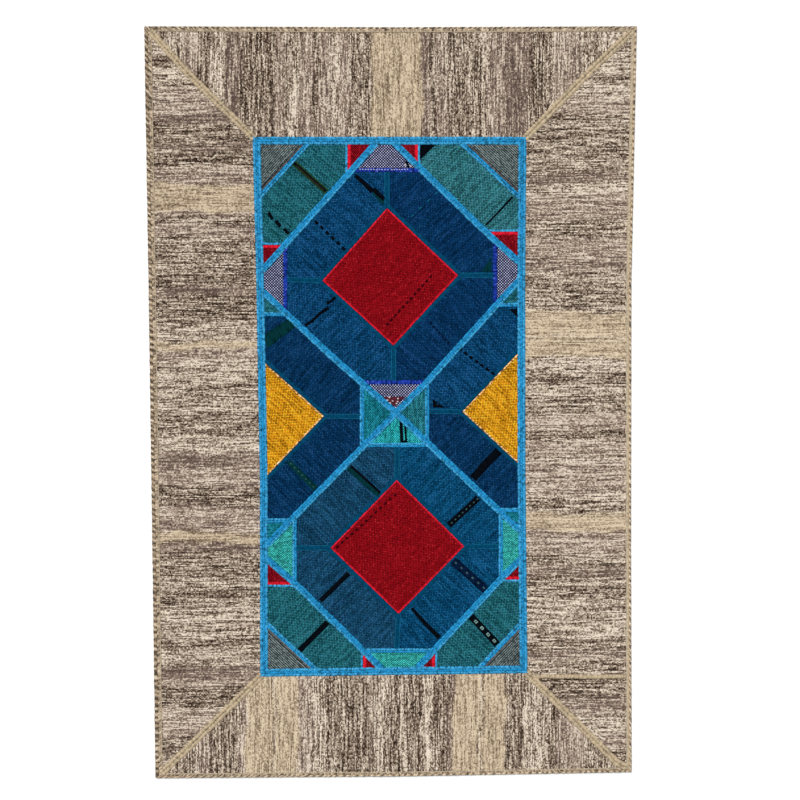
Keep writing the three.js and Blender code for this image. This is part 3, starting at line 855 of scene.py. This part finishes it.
FIELD_CLOTHS = {
    "grey": ("grey", "grey"),
    "teal": ("teal", "teal"),
    "tr_teal": ("pale_teal", "teal"),
    "red": ("dark_red", "red"),
    "diamond": ("red", "red"),
    "upper_ring": ("ocean", "ocean"),
    "upper_ring_ne": ("deep_ocean", "ocean"),
    "upper_ring_se": ("deep_ocean", "ocean"),
    "lower_ring": ("steel", "steel"),
    "lower_ring_ne": ("bright_steel", "steel"),
    "lower_ring_se": ("bright_steel", "steel"),
    "upper_tip": ("lilac", "lilac"),
    "lower_tip_top": ("leaf", "leaf"),
    "lower_tip": ("sea", "sea"),
    "small_top": ("teal", "leaf"),
    "small_bottom": ("bright_teal", "teal"),
    "navy": ("navy", "navy"),
    "right_navy_top": ("ocean", "navy"),
    "yellow": ("yellow", "yellow"),
    "left_centre": ("bright_teal", "teal"),
    "right_centre": ("moss", "moss"),
}
# How much the beads of a cloth differ from each other, and how streaked it is, where they aren't both 1
CLOTH_CONTRAST = {
    "red": (0.85, 0.45),
    "dark_red": (1.0, 0.5),
    "sea": (1.3, 0.7),
    "yellow": (1.05, 1.0),
    "leaf": (1.4, 0.9),
    "deep_ocean": (0.85, 1.0),
    "navy": (0.9, 1.1),
    "teal": (1.3, 0.9),
    "pale_teal": (1.3, 0.9),
    "moss": (1.3, 1.0),
    "ocean": (1.15, 0.9),
}
# Direction of the wefts, in degrees from the rug's width, where it isn't square to the patch's longest side
WEFT_ANGLES = {
    "upper_diamond": 45,
    "lower_diamond": 48,
    "yellow": -43,
    "centre": 90,
    "lower_tip_top": 90,
    "upper_tip_bottom": 0,
    "upper_tip": 0,
    "lower_tip": 0,
    "small": 0,
    "red": 90,
}
# Stripes of the border: where each begins, in millimetres, and its tone
STRIPE_TONES = {"K": 0.16, "D": 0.3, "B": 0.4, "M": 0.54, "L": 0.7, "C": 0.83, "P": 0.68}
TOP_STRIPES = (
    "-651 M, -614 D, -598 L, -566 B, -550 P, -513 D, -478 L, -439 K, -399 D, -308 M, -280 D, -276 L, -244 M, -207 D, "
    "-191 M, -157 L, -141 M, -109 B, -53 C, 83 K, 104 B, 120 M, 149 B, 171 D, 211 L, 226 B, 258 M, 304 K, 370 D, "
    "429 P, 461 M, 503 L, 655 L"
)
LEFT_STRIPES = (
    "1004 L, 927 D, 903 L, 852 D, 844 P, 783 M, 770 K, 743 B, 685 K, 672 B, 664 D, 626 M, 581 C, 507 M, 496 D, 475 M, "
    "440 B, 350 D, 307 K, 283 D, 225 B, 203 L, 161 C, 142 M, 110 L, 46 B, 30 L, -25 B, -84 L, -132 K, -169 M, -225 D, "
    "-273 M, -345 C, -374 K, -398 B, -472 L, -488 B, -544 L, -584 D, -589 M, -597 L, -629 B, -653 L, -701 K, -733 M, "
    "-757 D, -813 P, -866 M, -893 B, -917 D, -940 L, -1004 L"
)
RIGHT_STRIPES = (
    "1004 L, 948 B, 919 L, 876 D, 860 L, 815 M, 767 D, 743 B, 690 D, 672 B, 610 K, 586 L, 560 M, 485 D, 440 M, 387 K, "
    "350 B, 241 C, 175 M, 171 C, 121 L, 86 B, 57 D, 46 L, 14 B, -31 M, -73 D, -103 M, -140 L, -158 M, -244 L, -262 B, "
    "-294 C, -342 M, -408 D, -435 M, -446 K, -464 B, -549 L, -632 D, -661 K, -677 M, -685 B, -722 D"
)
CORNER_STRIPES = "-728 D, -784 K, -791 M, -810 K, -829 L, -887 M, -922 D, -983 B"
BOTTOM_STRIPES = (
    "-622 L, -574 B, -518 M, -478 D, -404 P, -385 C, -313 M, -308 C, -247 M, -212 L, -204 D, -202 L, -173 B, -114 D, "
    "-58 K, -50 L, -13 D, 24 L, 40 D, 83 L, 109 D, 152 K, 165 C, 237 B, 242 C, 304 D, 349 L, 421 D, 439 M, 485 P, "
    "516 D, 570 B, 641 B"
)
# Direction of each panel's wefts in degrees, its stripes, and how much paler than the left panel's wool it is
BORDER_PANELS = {
    "panel_top": (90, TOP_STRIPES, 0.0),
    "panel_bottom": (90, BOTTOM_STRIPES, 0.04),
    "panel_left": (0, LEFT_STRIPES, 0.0),
    "panel_right": (0, RIGHT_STRIPES, 0.09),
    "panel_right_corner": (0, CORNER_STRIPES, 0.06),
}
# Rows of each seam: yarn, offset towards the patch that names it, width, height share, all lengths in millimetres
SEAM_ROWS = {
    "frame": [("sky", 6.5, 7.4, 1.0), ("azure", -0.1, 7.6, 0.95), ("sky", -6.8, 7.4, 1.0)],
    "diagonal": [("azure", 5.5, 6.7, 0.95), ("azure", 0.0, 6.8, 0.9), ("sky", -5.5, 6.7, 0.95)],
    "corner": [
        ("taupe", 9.2, 4.4, 0.3),
        ("slate", 12.6, 2.6, 0.34),
        ("azure", 3.2, 6.2, 0.75),
        ("sky", -3.2, 6.2, 0.75),
    ],
    "tip": [("sky", 2.8, 5.6, 0.75), ("azure", -2.8, 5.6, 0.75)],
    "red_edge": [("sky", 0.0, 5.8, 0.75), ("scarlet", 7.4, 8.6, 0.45)],
    "royal": [("royal", 0.0, 11.0, 0.75)],
    "ring": [("teal", 5.4, 3.0, 0.42), ("deep_teal", 0.0, 8.0, 0.38), ("teal", -5.4, 3.0, 0.42)],
    "diamond": [("scarlet", 1.6, 4.4, 0.75), ("deep_teal", -6.4, 11.6, 0.45)],
    "yellow": [("peach", 2.2, 4.0, 0.7), ("deep_teal", -5.6, 10.6, 0.45)],
    "mitre": [("khaki", 4.9, 9.4, 0.9), ("khaki", -4.9, 9.4, 0.9)],
    "branch": [("khaki", 0.0, 10.4, 0.8)],
}
# Yarns that vary more than the others, or have pale flecks: contrast and screen colour of the flecks
YARN_LOOKS = {
    "azure": (0.8, (92, 168, 212)),
    "sky": (0.9, (132, 190, 218)),
    "royal": (1.0, (150, 150, 216)),
    "scarlet": (0.7, (236, 80, 92)),
    "peach": (1.6, (244, 228, 200)),
    "binding": (1.3, (228, 214, 192)),
    "light_binding": (1.2, (240, 226, 202)),
    "selvedge": (1.3, (216, 200, 174)),
    "khaki": (0.55, (218, 202, 172)),
    "taupe": (1.0, (130, 126, 124)),
}
# Seams that others run under, with half their width in millimetres, heaviest first
HEAVY_SEAMS = {"frame": 10.8, "diagonal": 8.8, "mitre": 9.6, "diamond": 4, "royal": 4}
# Depth of the binding's outer and inner row from the rug's edge, in millimetres, and their yarns
BINDING_ROWS = {
    "top": (4.5, 12.5, "binding", "selvedge"),
    "right": (6.5, 14, "light_binding", "rim"),
    "bottom": (6, 12.5, "light_binding", "selvedge"),
    "left": (8.5, 17.5, "binding", "selvedge"),
}
# Marks woven into the patches: yarn, width at both ends, and the points it runs through, in millimetres
MARKS = [
    ("olive", (18, 18), [(-261, 640), (-172, 561)]),
    ("black", (10, 10), [(-259, 638), (-173, 562)]),
    ("tan", (1.3, 1.3), [(-252, 630), (-178, 564.5)]),
    ("black", (10, 8), [(-325.5, 505), (-315, 487)]),
    ("black", (10, 10), [(-306, 484), (-294, 468)]),
    ("black", (10, 8), [(-285, 462), (-272, 449)]),
    ("black", (5.4, 5.4), [(323.6, 547.3), (288, 508), (252.6, 472.2)]),
    ("black", (16, 15), [(-168, -584), (-243, -660)]),
    ("black", (20, 20), [(213, -568.5), (283, -643)]),
    ("bottle", (8, 13), [(-48, 558), (-20, 531)]),
    ("black", (10, 16), [(-94, 604), (-66, 578), (-49, 561)]),
    ("black", (15, 13), [(-47, 568), (-33, 553), (-18, 540)]),
    ("black", (5, 6), [(39, 642), (44, 634), (49, 625)]),
    ("black", (8, 9), [(-147.5, 280.5), (-158, 270), (-170.6, 262.7)]),
    ("black", (9, 7), [(-165, 251.8), (-190, 236), (-210, 216), (-227.8, 204.4)]),
    ("black", (9, 9), [(27, -50), (29, -106)]),
    ("black", (6, 6), [(38, -62), (41, -106)]),
    ("black", (6, 6), [(29, -104), (41, -104)]),
    ("bottle", (30, 38), [(-262, 212), (-300, 186), (-336, 160)]),
    ("bottle", (17, 18), [(-272, -157), (-238, -192), (-200, -230)]),
    ("black", (24, 22), [(287, -128.6), (252, -164), (218.5, -202.3)]),
    ("bottle", (15, 15), [(-112.9, -174.4), (-72, -210), (-32, -247.5)]),
    ("black", (8, 8), [(-107, -169), (-66, -206), (-28, -241)]),
    ("black", (14, 14), [(-112, -454), (-148, -490), (-187, -527)]),
    ("black", (18, 18), [(154, -327), (232.6, -254)]),
    ("ink", (24, 24), [(165, -420), (252, -498.6)]),
    ("black", (10, 12), [(55.5, -547.6), (90, -586), (128.6, -625.4)]),
]
# Cornered marks: yarn, left edge and right edge, each from its start to its end
WEDGES = [
    ("black", [(75.7, 685), (119.3, 687)], [(77.5, 645), (119.3, 685)]),
    ("black", [(314.8, 248), (336.9, 249.4)], [(314.8, 246.6), (336.9, 226)]),
    ("bottle", [(241.6, 349), (265.9, 384.2)], [(241.6, 347.8), (265.9, 347.8)]),
    ("black", [(110.8, 11), (143.2, -12.8)], [(112.1, -14), (143.2, -14)]),
    ("maroon", [(37.6, 14.5), (9.7, -9.4)], [(-22.2, 14.5), (7, -9.4)]),
]
# Rows of short dots: yarn, dot length, width and lift, count, start and end
DOT_ROWS = [
    ("lilac", (4, 3, 0.8), 11, (-82, 620), (-8, 619)),
    ("lilac", (4, 3, 0.8), 7, (2, 619), (44, 620)),
    ("cream", (5, 5, 0.8), 2, (38, 632), (53, 628)),
    ("mist", (9.5, 9.5, 0.78), 4, (226, -583), (275, -634)),
    ("black", (4, 4, 0.94), 4, (226, -583), (275, -634)),
    ("smoke", (6, 6, 0.78), 6, (173, -427), (247, -493)),
    ("smoke", (4.5, 4.5, 0.78), 8, (162, -320), (230, -257)),
    ("black", (11, 7.5, 0.78), 6, (-197.8, 478.9), (-125.7, 409.5)),
    ("teal", (10, 4, 0.7), 4, (121, 557), (58, 497)),
    ("dark_maroon", (9, 6, 0.7), 12, (106, 334.5), (-9, 208)),
    ("ink", (7, 6, 0.7), 7, (106, 210.5), (153, 159.5)),
    ("black", (10.5, 7, 0.78), 7, (183.9, 140.8), (271.7, 77)),
    ("dark_maroon", (8, 5.5, 0.7), 13, (11, -246), (-142, -384)),
    ("deep_teal", (4, 4, 0.8), 1, (124, -4.6), (126, -4.6)),
    ("smoke", (4, 4, 0.7), 7, (-266, -163), (-206, -224)),
    ("cream", (4.4, 4.4, 0.8), 2, (-4, 13.4), (18.8, 10.2)),
    ("cream", (4.4, 4.4, 0.8), 3, (-9, 6), (18, 2)),
    ("cream", (4.4, 4.4, 0.8), 2, (-2, -1.5), (14.8, -3)),
]


def looked_up(table, node):
    """The table's entry whose name is longest among those found in the node's name."""
    found = [word for word in table if word in node]
    return table[max(found, key=len)] if found else None


def stripe_tones(text, turned, paler):
    """A function of the weave's place that gives tone, blush and straw, from stripes that begin at the places listed.

    Stripes run along the weft and wander by slow waves of a few millimetres. The values are an average of five
    lookups 1.5 mm apart, so that stripes blend at their edges.
    """
    entries = [(float(entry.split()[0]), entry.split()[1]) for entry in text.split(", ")]
    falling = entries[0][0] > entries[-1][0]
    entries.sort()
    starts = np.array([place for place, _ in entries])[1:] * MM
    letters = [letter for _, letter in entries]
    letters = letters[1:] if falling else letters[:-1]
    kinds = np.array([(STRIPE_TONES[letter] + paler, letter in "PKM", letter == "C") for letter in letters], float)

    def tones(u, v):
        place = -v if turned else v
        wander = 4.0 * MM * np.sin(u * 21 + place * 9) + 3.0 * MM * np.sin(u * 47 - place * 31 + 1.3)
        wander = wander + 2.0 * MM * np.sin(u * 96 + place * 120)
        shifted = (place + wander)[..., None] + np.arange(-2, 3) * 1.5 * MM
        return kinds[np.clip(np.searchsorted(starts, shifted), 0, len(letters) - 1)].mean(-2)

    return tones


class KILIM_OT_field(Operator):
    """Cut the field's patches from dyed cloth"""

    bl_idname = "kilim.field"
    bl_label = "Cut the field patches"

    def execute(self, context):
        cloth = context.scene.kilim_cloth
        finishes = {}
        for node in frame["nodes"]:
            found = looked_up(FIELD_CLOTHS, node)
            if found is None or node.startswith(("panel", "binding", "seam")):
                continue
            dye_name, slot = found
            if dye_name not in finishes:
                colour = tuple(getattr(cloth, dye_name))
                if dye_name == "lilac":
                    finishes[dye_name] = checked_cloth("Lilac check", colour, tuple(cloth.plum))
                elif dye_name == "grey":
                    finishes[dye_name] = ribbed_cloth("Grey rib", colour, cloth)
                else:
                    name = f"{dye_name.replace('_', ' ').capitalize()} wool"
                    contrast, streaks = CLOTH_CONTRAST.get(dye_name, (1.0, 1.0))
                    finishes[dye_name] = dyed_cloth(name, colour, cloth, contrast, streaks, float(len(finishes)))
            corners = outline(node)
            angle = looked_up(WEFT_ANGLES, node)
            if angle is None:
                edges = np.roll(corners, -1, axis=0) - corners
                longest = edges[np.argmax(np.linalg.norm(edges, axis=1))]
                angle = math.degrees(math.atan2(longest[1], longest[0])) + (0 if "grey" in node else 90)
            made = woven_sheet(corners, math.radians(angle), cloth, level_step=6 * MM, chord_step=12 * MM)
            points, triangles, place, _, size = made
            piece = place_piece(
                f"cloth_{node}", points, [triangles], finishes[dye_name], weave=place, replaces=(node,)
            )
        return {"FINISHED"}


class KILIM_OT_border(Operator):
    """Cut the striped border panels"""

    bl_idname = "kilim.border"
    bl_label = "Cut the border panels"

    def execute(self, context):
        cloth = context.scene.kilim_cloth
        finish = heathered_wool("Undyed striped wool", cloth)
        for node, (angle, stripes, paler) in BORDER_PANELS.items():
            corners = outline(node)
            tones = stripe_tones(stripes, angle == 90, paler)
            made = woven_sheet(corners, math.radians(angle), cloth, level_step=3 * MM, chord_step=28 * MM, stripe=tones)
            points, triangles, place, values, size = made
            piece = place_piece(
                f"cloth_{node}", points, [triangles], finish, ("stripe", values), place, (node,)
            )
        return {"FINISHED"}


def seam_paths():
    """Paths of all the seams by name, each with whether it closes on itself, from the outlines of the patches."""
    outlines = {node: outline(node) for node in frame["nodes"] if not node.startswith(("binding", "seam"))}
    lines = shared_lines(outlines)
    return {
        seam: chained([(start, end) for name, start, end in lines if name == seam], seam in ONE_SIDED)
        for seam in SEAM_ROWS
    }


def cut_back(seam, path, paths):
    """Trims a path's ends where it runs under a heavier seam, by that seam's half width less 2 mm."""
    cuts = []
    for tip in (path[:1], path[-1:]):
        cut = 0.0
        for heavy, half in HEAVY_SEAMS.items():
            if heavy == seam:
                break
            if any(distance_to(tip, other, closed)[0] < 4 * MM for other, closed in paths[heavy]):
                cut = (half - 2) * MM
                break
        cuts.append(cut)
    return trimmed(path, *cuts)


def sewn_rows(context, seams):
    """Rows of stitches of the named seams, by yarn."""
    yarn = context.scene.kilim_yarn
    paths = seam_paths()
    rows = {}
    for seam in seams:
        for number, (path, closed) in enumerate(paths[seam]):
            run = path if closed else cut_back(seam, path, paths)
            for thread, offset, width, height in SEAM_ROWS[seam]:
                left, right = beside(run, closed, offset * MM, width * MM)
                made = stitches(left, right, closed, yarn, f"{seam}{number}{offset}", height)
                rows.setdefault((seam, thread), []).append(made)
    return rows


def yarn_finish(context, thread):
    """The material of one yarn, made once."""
    name = f"{thread.replace('_', ' ').capitalize()} yarn"
    if name in bpy.data.materials:
        return bpy.data.materials[name]
    colour = tuple(getattr(context.scene.kilim_yarn, thread))
    contrast, fleck = YARN_LOOKS.get(thread, (0.5, None))
    return overcast_yarn(name, colour, contrast, linear(*fleck) if fleck else times(colour, 1.6))


class KILIM_OT_azure_seams(Operator):
    """Sew the field together with azure yarn"""

    bl_idname = "kilim.azure_seams"
    bl_label = "Sew the azure seams"

    def execute(self, context):
        rows = sewn_rows(context, ("frame", "diagonal", "corner", "tip"))
        for (seam, thread), made in rows.items():
            blue = thread in ("azure", "sky")
            slot, stands_for = ("azure_yarn", ("seam_blue_network",)) if blue else ("grey", ())
            sew(f"seam_{seam}_{thread}", made, yarn_finish(context, thread), stands_for)
        return {"FINISHED"}


class KILIM_OT_edge_seams(Operator):
    """Sew the edges of the rings, diamonds, tips and triangles with coloured yarn"""

    bl_idname = "kilim.edge_seams"
    bl_label = "Sew the coloured edges"

    def execute(self, context):
        rows = sewn_rows(context, ("ring", "red_edge", "royal", "diamond", "yellow"))
        for (seam, thread), made in rows.items():
            sew(f"seam_{seam}_{thread}", made, yarn_finish(context, thread))
        return {"FINISHED"}


class KILIM_OT_mitres(Operator):
    """Sew the border's mitres with khaki yarn"""

    bl_idname = "kilim.mitres"
    bl_label = "Sew the mitres"

    def execute(self, context):
        rows = sewn_rows(context, ("mitre", "branch"))
        mitres = tuple(node for node in frame["nodes"] if node.startswith("seam_mitre"))
        made = [row for group in rows.values() for row in group]
        sew("seam_mitres_khaki", made, yarn_finish(context, "khaki"), mitres)
        return {"FINISHED"}


def outer_lines():
    """The rug's outer edge by side, counter-clockwise: the outer half of each binding strip's underside.

    Outer and inner points lie to either side of a quadratic fitted to them all. For each side the table gives the
    axis that it faces, the sign of its outward direction and the sign of its run.
    """
    facing = {"top": (1, 1, -1), "left": (0, -1, -1), "bottom": (1, -1, 1), "right": (0, 1, 1)}
    sides = {}
    for side, (axis, outward, forward) in facing.items():
        points = face_corners(f"binding_{side}", -1)
        fit = np.polyfit(points[:, 1 - axis], points[:, axis], 2)
        outer = points[(points[:, axis] - np.polyval(fit, points[:, 1 - axis])) * outward > 0]
        sides[side] = outer[np.argsort(outer[:, 1 - axis] * forward)]
    return sides


def crossing(a, along_a, b, along_b):
    """Where two straight lines cross."""
    factor = np.linalg.solve(np.stack([along_a, -along_b], 1), b - a)
    return a + along_a * factor[0]


def inward(sides, depths):
    """Each side's outer line moved inwards by its own depth, cut where it meets the moved lines of its neighbours."""
    order = list(sides)
    moved = {side: beside(line, False, depths[side], 0)[0] for side, line in sides.items()}
    cut = {side: line.copy() for side, line in moved.items()}
    for place, side in enumerate(order):
        nxt = order[(place + 1) % 4]
        here, there = moved[side], moved[nxt]
        corner = crossing(here[-1], here[-1] - here[-2], there[0], there[1] - there[0])
        cut[side][-1] = corner
        cut[nxt][0] = corner
    return cut


class KILIM_OT_binding(Operator):
    """Bind the rug's edge with two rows of yarn and a thin light thread"""

    bl_idname = "kilim.binding"
    bl_label = "Bind the edge"

    def execute(self, context):
        yarn = context.scene.kilim_yarn
        sides = outer_lines()

        def line(place):
            return inward(sides, {side: place(side, *BINDING_ROWS[side][:2]) * MM for side in sides})

        outer = line(lambda side, middle, inner: -1.6 if side in ("top", "left") else 0.2)
        middle = line(lambda side, middle, inner: middle)
        overlap = line(lambda side, middle, inner: middle - 2.2)
        rim = line(lambda side, middle, inner: inner - 2.6)
        inner = line(lambda side, middle, inner: inner)
        for side, (_, _, thread, flat_thread) in BINDING_ROWS.items():
            node = f"binding_{side}"
            rows = stitches(middle[side], outer[side], False, yarn, f"edge{side}", 1.95, 0.16, 0.0, 16 * MM, 0.9)
            sew(f"{node}_edge", [rows], yarn_finish(context, thread), (node,))
            rows = stitches(inner[side], overlap[side], False, yarn, f"flat{side}", 1.0, 0.35, 1.9 * MM)
            sew(f"{node}_flat", [rows], yarn_finish(context, flat_thread), (node,))
            rows = stitches(inner[side], rim[side], False, yarn, f"rim{side}", 1.25, 0.2, 1.9 * MM)
            sew(f"{node}_rim", [rows], yarn_finish(context, "rim"))
        return {"FINISHED"}


class KILIM_OT_marks(Operator):
    """Weave the small marks into the patches"""

    bl_idname = "kilim.marks"
    bl_label = "Weave the marks"

    def execute(self, context):
        yarn = context.scene.kilim_yarn
        rows = {}

        def weave_in(thread, left, right, seed, lift):
            made = stitches(left, right, False, yarn, seed, lift, 0.12, CLOTH_TOP - 0.3 * MM, uneven=0.15)
            rows.setdefault(thread, []).append(made)

        for number, (thread, widths, points) in enumerate(MARKS):
            path = np.array(points, float) * MM
            left, right = beside(path, False, 0, np.linspace(widths[0], widths[1], len(path)) * MM)
            weave_in(thread, left, right, f"mark{number}", {"bottle": 0.5, "olive": 0.5, "tan": 0.76}.get(thread, 0.63))
        for number, (thread, left, right) in enumerate(WEDGES):
            weave_in(thread, np.array(left) * MM, np.array(right) * MM, f"wedge{number}", 0.6)
        for number, (thread, (size, width, lift), count, start, end) in enumerate(DOT_ROWS):
            start, end = np.array(start) * MM, np.array(end) * MM
            for place in np.linspace(0, 1, count):
                middle = start + (end - start) * place
                half = unit(end - start) * size * MM / 2
                left, right = beside(np.array([middle - half, middle + half]), False, 0, width * MM)
                weave_in(thread, left, right, f"dot{number}{place:.2f}", lift)
        for thread, made in rows.items():
            sew(f"mark_{thread}", made, yarn_finish(context, thread))
        return {"FINISHED"}


class KILIM_OT_stage(Operator):
    """Set the floor, the light and the camera"""

    bl_idname = "kilim.stage"
    bl_label = "Set the stage"

    def execute(self, context):
        stage = context.scene.kilim_stage
        half = 45.0
        mesh = bpy.data.meshes.new("floor")
        corners = [(-half, -half, -0.0003), (half, -half, -0.0003), (half, half, -0.0003), (-half, half, -0.0003)]
        mesh.from_pydata(corners, [], [(0, 1, 2, 3)])
        material = bpy.data.materials.new("Pale floor")
        material.use_nodes = True
        recipe = Recipe(material.node_tree)
        shader = material.node_tree.nodes["Principled BSDF"]
        shader.inputs["Roughness"].default_value = 0.9
        shader.inputs["Specular IOR Level"].default_value = 0.1
        place = recipe.node("ShaderNodeTexCoord").outputs["Object"]
        mottle = recipe.noise(place, 3.0, 3.0, 0.5)
        paler = tuple(min(1.0, channel * 1.02) for channel in stage.floor)
        recipe.put(shader.inputs["Base Color"], recipe.ramp(mottle, (0.3, tuple(stage.floor)), (0.7, paler)))
        mesh.materials.append(material)
        floor = bpy.data.objects.new("floor", mesh)
        context.scene.collection.objects.link(floor)

        sun = bpy.data.lights.new("key_light", "SUN")
        sun.energy = stage.sun
        sun.angle = math.radians(28)
        lamp = bpy.data.objects.new("key_light", sun)
        lamp.rotation_euler = (math.radians(-38), math.radians(-30), 0)
        context.scene.collection.objects.link(lamp)
        world = bpy.data.worlds.new("Studio")
        world.use_nodes = True
        backdrop = world.node_tree.nodes["Background"]
        backdrop.inputs["Color"].default_value = (1, 1, 1, 1)
        recipe = Recipe(world.node_tree)
        seen = recipe.node("ShaderNodeLightPath").outputs["Is Camera Ray"]
        strength = recipe.sum("MULTIPLY_ADD", seen, 1.0 - stage.sky, stage.sky)
        recipe.put(backdrop.inputs["Strength"], strength)
        context.scene.world = world
        context.scene.view_settings.view_transform = "Standard"

        lens = bpy.data.cameras.new("camera")
        lens.sensor_width = 36
        lens.lens = lens.sensor_width * stage.camera_height / stage.view_width
        lens.clip_end = 100
        camera = bpy.data.objects.new("camera", lens)
        camera.location = (24.3 * MM, 6.5 * MM, stage.camera_height + CLOTH_TOP)
        context.scene.collection.objects.link(camera)
        context.scene.camera = camera
        return {"FINISHED"}


STEPS = (
    KILIM_OT_field,
    KILIM_OT_border,
    KILIM_OT_azure_seams,
    KILIM_OT_edge_seams,
    KILIM_OT_mitres,
    KILIM_OT_binding,
    KILIM_OT_marks,
    KILIM_OT_stage,
)
SETTINGS = {"kilim_cloth": KilimCloth, "kilim_yarn": KilimYarn, "kilim_stage": KilimStage}


class KILIM_PT_panel(Panel):
    """Steps, sizes and colours of the rug"""

    bl_label = "Kilim"
    bl_idname = "KILIM_PT_panel"
    bl_space_type = "VIEW_3D"
    bl_region_type = "UI"
    bl_category = "Kilim"

    def draw(self, context):
        for step in STEPS:
            self.layout.operator(step.bl_idname)
        for name, group in SETTINGS.items():
            box = self.layout.box()
            box.label(text=group.__doc__)
            for key in group.__annotations__:
                box.prop(getattr(context.scene, name), key)


def register():
    for group in (*SETTINGS.values(), *STEPS, KILIM_PT_panel):
        bpy.utils.register_class(group)
    for name, group in SETTINGS.items():
        setattr(bpy.types.Scene, name, PointerProperty(type=group))


def unregister():
    for name in SETTINGS:
        delattr(bpy.types.Scene, name)
    for group in reversed((*SETTINGS.values(), *STEPS, KILIM_PT_panel)):
        bpy.utils.unregister_class(group)


def main():
    register()
    for step in STEPS:
        family, name = step.bl_idname.split(".")
        getattr(getattr(bpy.ops, family), name)()


if __name__ == "__main__":
    main()
